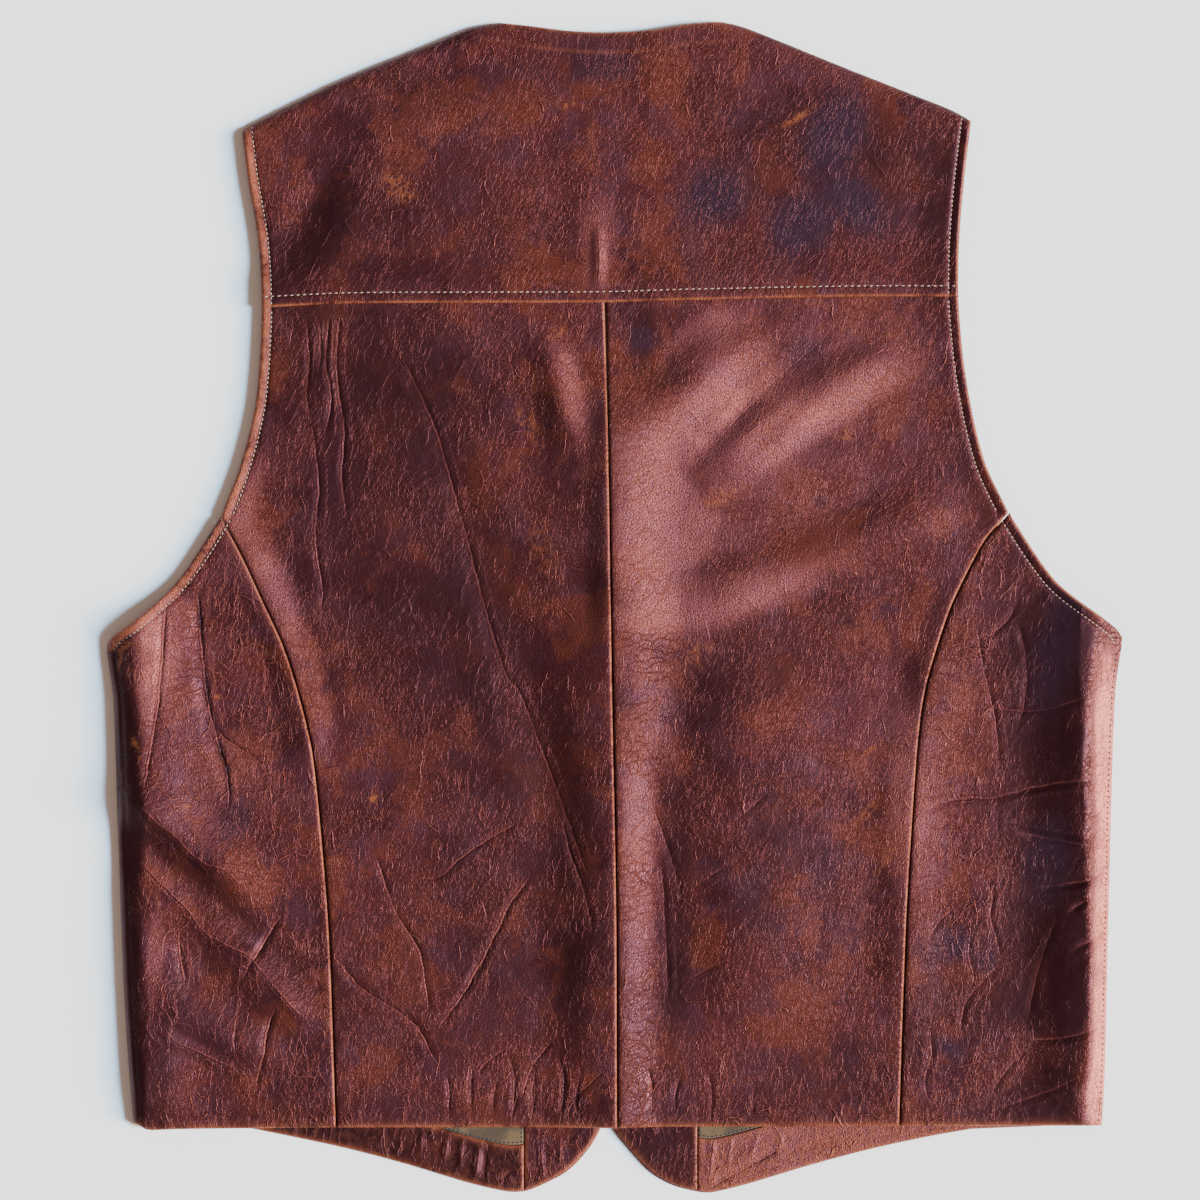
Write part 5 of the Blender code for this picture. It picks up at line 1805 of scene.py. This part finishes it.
# The black of the needle holes is painted shade in the holes
HOLE_BLACK = (0.008, 0.004, 0.004)
TWIST_SIZE = 0.0006
TWIST_SHADE = 0.6
STITCH_SEGMENTS = 7
STITCH_RINGS = 5


def thread_material(name, colour):
    """Twisted thread, finely uneven in light and dark."""
    material, shader, start = new_material(name)
    where = start.node("ShaderNodeTexCoord", None, None, "Object")
    twist = smooth(cloud(where, TWIST_SIZE, 1.0), 0.35, 0.65)
    deep = tuple(TWIST_SHADE * part for part in colour)
    shade = mixed(twist, (*deep, 1.0), (*colour, 1.0))
    shade.into(shader, "Base Color")
    shader.inputs["Roughness"].default_value = 0.7
    return material


def stitch_tree():
    """Tree that sets rounded stitches along a curve."""
    tree, keys = new_tree("stitch_row", {
        "Pitch": "NodeSocketFloat",
        "Stitch Size": "NodeSocketVector",
        "Slant": "NodeSocketFloat",
        "Thread": "NodeSocketMaterial",
    })
    start = Wire(tree)
    given = tree.nodes.new("NodeGroupInput")
    row, pitch, size, slant, thread = (Wire(tree, given.outputs[index]) for index in range(5))
    places = start.node("GeometryNodeResampleCurve", {"mode": "LENGTH"}, {"Curve": row, "Length": pitch})
    bead_inputs = {"Segments": STITCH_SEGMENTS, "Rings": STITCH_RINGS, "Radius": 0.5}
    bead = start.node("GeometryNodeMeshUVSphere", None, bead_inputs)
    stitch = start.node("GeometryNodeTransform", None, {"Geometry": bead, "Scale": size})
    tangent = start.node("GeometryNodeInputTangent")
    aligned = start.node("FunctionNodeAlignRotationToVector", {"axis": "X"}, {"Vector": tangent})
    turn = start.node("ShaderNodeCombineXYZ", None, {"Z": slant})
    turned = start.node(
        "FunctionNodeRotateRotation", {"rotation_space": "LOCAL"}, {"Rotation": aligned, "Rotate By": turn}
    )
    inputs = {"Points": places, "Instance": stitch, "Rotation": turned}
    set_out = start.node("GeometryNodeInstanceOnPoints", None, inputs)
    real = start.node("GeometryNodeRealizeInstances", None, {"Geometry": set_out})
    end_tree(tree, start.node("GeometryNodeSetMaterial", None, {"Geometry": real, "Material": thread}))
    return tree, keys


def lifted_row(points, surface, lift):
    """Points of a row in plan, set on a panel's surface."""
    height = dressed_height(points, surface)[0]
    return np.column_stack([points, height + lift])


def inset_line(curve, distance, side):
    """A falling curve moved inwards by a distance, on the vest's left or right."""
    tangent = np.gradient(curve, axis=0)
    normal = np.column_stack([-tangent[:, 1], tangent[:, 0]])
    normal /= np.linalg.norm(normal, axis=1, keepdims=True)
    return curve + normal * distance * (1.0 if side == "left" else -1.0)


def row_curve(name, strands):
    """Curve object with one straight-segment spline for each strand of a row."""
    curve = bpy.data.curves.new(name, "CURVE")
    curve.dimensions = "3D"
    for strand in strands:
        spline = curve.splines.new("POLY")
        spline.points.add(len(strand) - 1)
        for point, place in zip(spline.points, strand):
            point.co = (*(place * MM), 1.0)
    return add_object(name, curve)


stitches, stitch_keys = stitch_tree()
cream_thread = thread_material("cream_thread", THREAD_CREAM)
brown_thread = thread_material("brown_thread", THREAD_BROWN)
needle_hole = thread_material("needle_hole", HOLE_BLACK)
print("inputs of the stitch tree:", list(stitch_keys))

# %% Rows of stitches
STITCH_PITCH = 3.6
ARMHOLE_PITCH = 2.6
ARMHOLE_STITCH = (1.7, 0.62, 0.5)
ARMHOLE_HOLE = (0.9, 0.65, 0.3)
YOKE_STITCH = (2.1, 0.66, 0.5)
YOKE_HOLE = (1.3, 0.7, 0.3)
YOKE_STITCH_INSET = 6.1
YOKE_ROW_END = 1.5
SEAM_STOP = 1.0
SIDE_SEAM_STOP = 2.0
HOLE_LIFT = 0.02
STITCH_LIFT = 0.16
STITCH_SLANT = math.radians(7.0)


def armhole_strands(side, lift):
    """Row inside an armhole, over yoke, centre panel and side panel."""
    row = inset_line(armhole_line[side], STITCH_INSET, side)
    split_y = seam_height(row[:, 0])
    on_yoke = row[row[:, 1] > split_y + SEAM_STOP]
    seam_y = side_points(ARMHOLE, side)[ARMHOLE_AT_SEAM, 1]
    on_centre = row[(row[:, 1] < split_y - SEAM_STOP) & (row[:, 1] > seam_y + SEAM_STOP)]
    on_side = row[row[:, 1] < seam_y - SIDE_SEAM_STOP]
    return [
        lifted_row(on_yoke, yoke_surface, lift),
        lifted_row(on_centre, centre_surface[side], lift),
        lifted_row(on_side, side_surface[side], lift),
    ]


def half_step(strand, pitch):
    """A strand that starts half a pitch later, so that its marks fall between the stitches."""
    steps = np.linalg.norm(np.diff(strand, axis=0), axis=1)
    run = np.concatenate([[0.0], np.cumsum(steps)])
    marks = np.arange(0.5 * pitch, run[-1] - 0.5 * pitch, 0.5 * pitch)
    return np.column_stack([np.interp(marks, run, strand[:, axis]) for axis in range(3)])


def yoke_strand(lift):
    """Row along the yoke's lower edge."""
    points = yoke_line + np.array([0.0, YOKE_STITCH_INSET])
    first_x, last_x = yoke_line[0, 0] + YOKE_ROW_END, yoke_line[-1, 0] - YOKE_ROW_END
    keep = (points[:, 0] > first_x) & (points[:, 0] < last_x)
    return lifted_row(points[keep], yoke_surface, lift)


sewn_rows = []


def sew(name, strands, pitch, size, material):
    """Row of stitches or holes along some strands, as one mesh."""
    settings = {
        stitch_keys["Pitch"]: pitch * MM,
        stitch_keys["Stitch Size"]: tuple(part * MM for part in size),
        stitch_keys["Slant"]: STITCH_SLANT,
        stitch_keys["Thread"]: material,
    }
    row = apply_tree(row_curve(name + "_row", strands), stitches, settings)
    row.name = name
    row.data.materials.clear()
    row.data.materials.append(material)
    sewn_rows.append(row)
    print(name, len(row.data.polygons), "faces")


for side in SIDES:
    strands = armhole_strands(side, STITCH_LIFT)
    sew("armhole_stitches_" + side, strands, ARMHOLE_PITCH, ARMHOLE_STITCH, cream_thread)
    holes = [half_step(strand, ARMHOLE_PITCH) for strand in armhole_strands(side, HOLE_LIFT)]
    sew("armhole_holes_" + side, holes, ARMHOLE_PITCH, ARMHOLE_HOLE, needle_hole)
sew("yoke_stitches", [yoke_strand(STITCH_LIFT)], STITCH_PITCH, YOKE_STITCH, cream_thread)
yoke_holes = half_step(yoke_strand(HOLE_LIFT), STITCH_PITCH)
sew("yoke_holes", [yoke_holes], STITCH_PITCH, YOKE_HOLE, needle_hole)

# %% Side seams and lining edge
SIDE_STITCH = (2.9, 0.6, 0.4)
SIDE_STITCH_INSET = 5.0
SIDE_STITCH_LIFT = 0.1
SIDE_HOLE = (1.3, 0.9, 0.9)
SIDE_HOLE_INSET = 2.0
SIDE_HOLE_PITCH = 3.1
SIDE_HOLE_LIFT = 0.12
SIDE_ROW = slice(4, -1)
LINING_STITCH = (1.5, 0.8, 0.4)
LINING_STITCH_INSET = 1.2
LINING_STITCH_LIFT = 0.12
LINING_PITCH = 2.4
LINING_ROW_END_X = 150.0
LINING_ROW_TOP_Y = -270.0
LINING_SEAM_ROW = 30.0


def side_strand(side, inset, lift):
    """Row inside a side edge, from below the armhole's corner to the hem."""
    points = inset_line(side_line[side], inset, side)[SIDE_ROW]
    return lifted_row(points, side_surface[side], lift)


def lining_strands(side):
    """Rows round the corner of the lining that shows, along the hem band and up the facing."""
    lining = facing_outlines(side)[2]
    band = lining[:len(lining) // 2]
    inset = np.array([SIGN[side] * LINING_STITCH_INSET, LINING_STITCH_INSET])
    edge = band[np.abs(band[:, 0]) < LINING_ROW_END_X] + inset
    edge = edge[edge[:, 1] < LINING_ROW_TOP_Y]
    seam_row = np.array([edge[0], edge[0] + np.array([0.0, LINING_SEAM_ROW])])
    level = INSIDE_LEVEL + LINING_CLOTH + LINING_STITCH_LIFT
    return [np.column_stack([row, np.full(len(row), level)]) for row in (edge, seam_row)]


left_strand = side_strand("left", SIDE_STITCH_INSET, SIDE_STITCH_LIFT)
sew("side_stitches_left", [left_strand], STITCH_PITCH, SIDE_STITCH, brown_thread)
right_strand = side_strand("right", SIDE_HOLE_INSET, SIDE_HOLE_LIFT)
sew("side_holes_right", [right_strand], SIDE_HOLE_PITCH, SIDE_HOLE, needle_hole)
for side in SIDES:
    strands = lining_strands(side)
    sew("lining_stitches_" + side, strands, LINING_PITCH, LINING_STITCH, brown_thread)

# %% [markdown]
# ## Hanging the pieces on the vest's body
#
# Every piece rides on the vest's one body. The shells stand for the solids of the same panels, so those are
# hidden. The size of the rectangle that each cut fits in, the area of the cut and the pieces that it lies on
# are worked out as well.

def flat_size(node, piece):
    """Width and length of the cut in metres, and its area in square metres."""
    places = np.empty(3 * len(piece.data.vertices), dtype=np.float32)
    piece.data.attributes["cut"].data.foreach_get("vector", places)
    width, length, _ = np.ptp(places.reshape(-1, 3), axis=0).tolist()
    if node in cut_area:
        return (width, length), cut_area[node]
    area = sum(face.area for face in piece.data.polygons) * 0.5
    return (width, length), area


FRONTS = ["front_left", "front_right"]


def carriers(node):
    """Names of what a piece lies on: the yoke on both halves, the fronts on nothing, others on a front."""
    if node == "back_yoke":
        return ["back_centre_left", "back_centre_right", *FRONTS]
    side = node.rsplit("_", 1)[-1]
    return [] if node in FRONTS else ["front_" + side]


everything = {**leather_pieces, **lining_pieces}
for node, piece in everything.items():
    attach(piece, "root")
    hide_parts(node)
    "lining" if node in lining_pieces else "leather"
    size, area = flat_size(node, piece)
    carriers(node)
for row in sewn_rows:
    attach(row, "root")
print("declared sheets:", len(everything), "sewn rows:", len(sewn_rows))

# %% [markdown]
# ## Floor, light and camera
#
# The photograph has an even, pale grey ground, a soft light from the right that grazes the leather, and a
# camera straight above. The shadow on the left is bluish at its rim and brown at the leather, so the light is
# warm near the ground and cooler above: a low warm sun and a higher cool one, which make a neutral grey
# together. The camera stands high, with a long lens, so that the edges of the vest stay upright.

# %% Stage
FLOOR_SIZE = 6.0
FLOOR_GREY = (0.88, 0.88, 0.88)
Sun = namedtuple("Sun", "elevation turn strength colour angle")
SUNS = {
    "low_warm_sun": Sun(23.0, -9.0, 6.91, (1.591, 1.015, 0.411), 20.0),
    "high_cool_sun": Sun(39.0, -9.0, 7.325, (0.592, 1.015, 1.410), 14.0),
}
WORLD_COLOUR = (1.20, 0.85, 0.68)
WORLD_STRENGTH = 0.36
CAMERA_HEIGHT = 2.4
CAMERA_X = -0.0083
CAMERA_Y = 0.0043
FRAME_WIDTH = 0.6812
SENSOR = 36.0
VEST_LEVEL = 0.006


def make_floor():
    """Large pale floor under the vest."""
    half = 0.5 * FLOOR_SIZE
    corners = [(-half, -half, 0.0), (half, -half, 0.0), (half, half, 0.0), (-half, half, 0.0)]
    mesh = bpy.data.meshes.new("floor")
    mesh.from_pydata(corners, [], [(0, 1, 2, 3)])
    floor = add_object("floor", mesh)
    material, shader, _ = new_material("pale_floor")
    shader.inputs["Base Color"].default_value = (*FLOOR_GREY, 1.0)
    shader.inputs["Roughness"].default_value = 0.95
    shader.inputs["Specular IOR Level"].default_value = 0.1
    mesh.materials.append(material)


def make_light():
    """Two soft suns from the right and an even sky."""
    for name, row in SUNS.items():
        sun = bpy.data.lights.new(name, "SUN")
        sun.energy = row.strength
        sun.color = row.colour
        sun.angle = math.radians(row.angle)
        lamp = add_object(name, sun)
        lamp.rotation_euler = (0.0, math.radians(90.0 - row.elevation), math.radians(row.turn))
    world = bpy.data.worlds.new("pale_sky")
    world.use_nodes = True
    sky = world.node_tree.nodes["Background"]
    sky.inputs["Color"].default_value = (*WORLD_COLOUR, 1.0)
    sky.inputs["Strength"].default_value = WORLD_STRENGTH
    bpy.context.scene.world = world


def make_camera():
    """Camera straight above, framed as the photograph."""
    data = bpy.data.cameras.new("camera")
    data.sensor_width = SENSOR
    data.sensor_fit = "HORIZONTAL"
    data.lens = SENSOR * (CAMERA_HEIGHT - VEST_LEVEL) / FRAME_WIDTH
    camera = add_object("camera", data)
    camera.location = (CAMERA_X, CAMERA_Y, CAMERA_HEIGHT)
    bpy.context.scene.camera = camera


make_floor()
make_light()
make_camera()
print("lens", round(bpy.context.scene.camera.data.lens, 1), "mm")
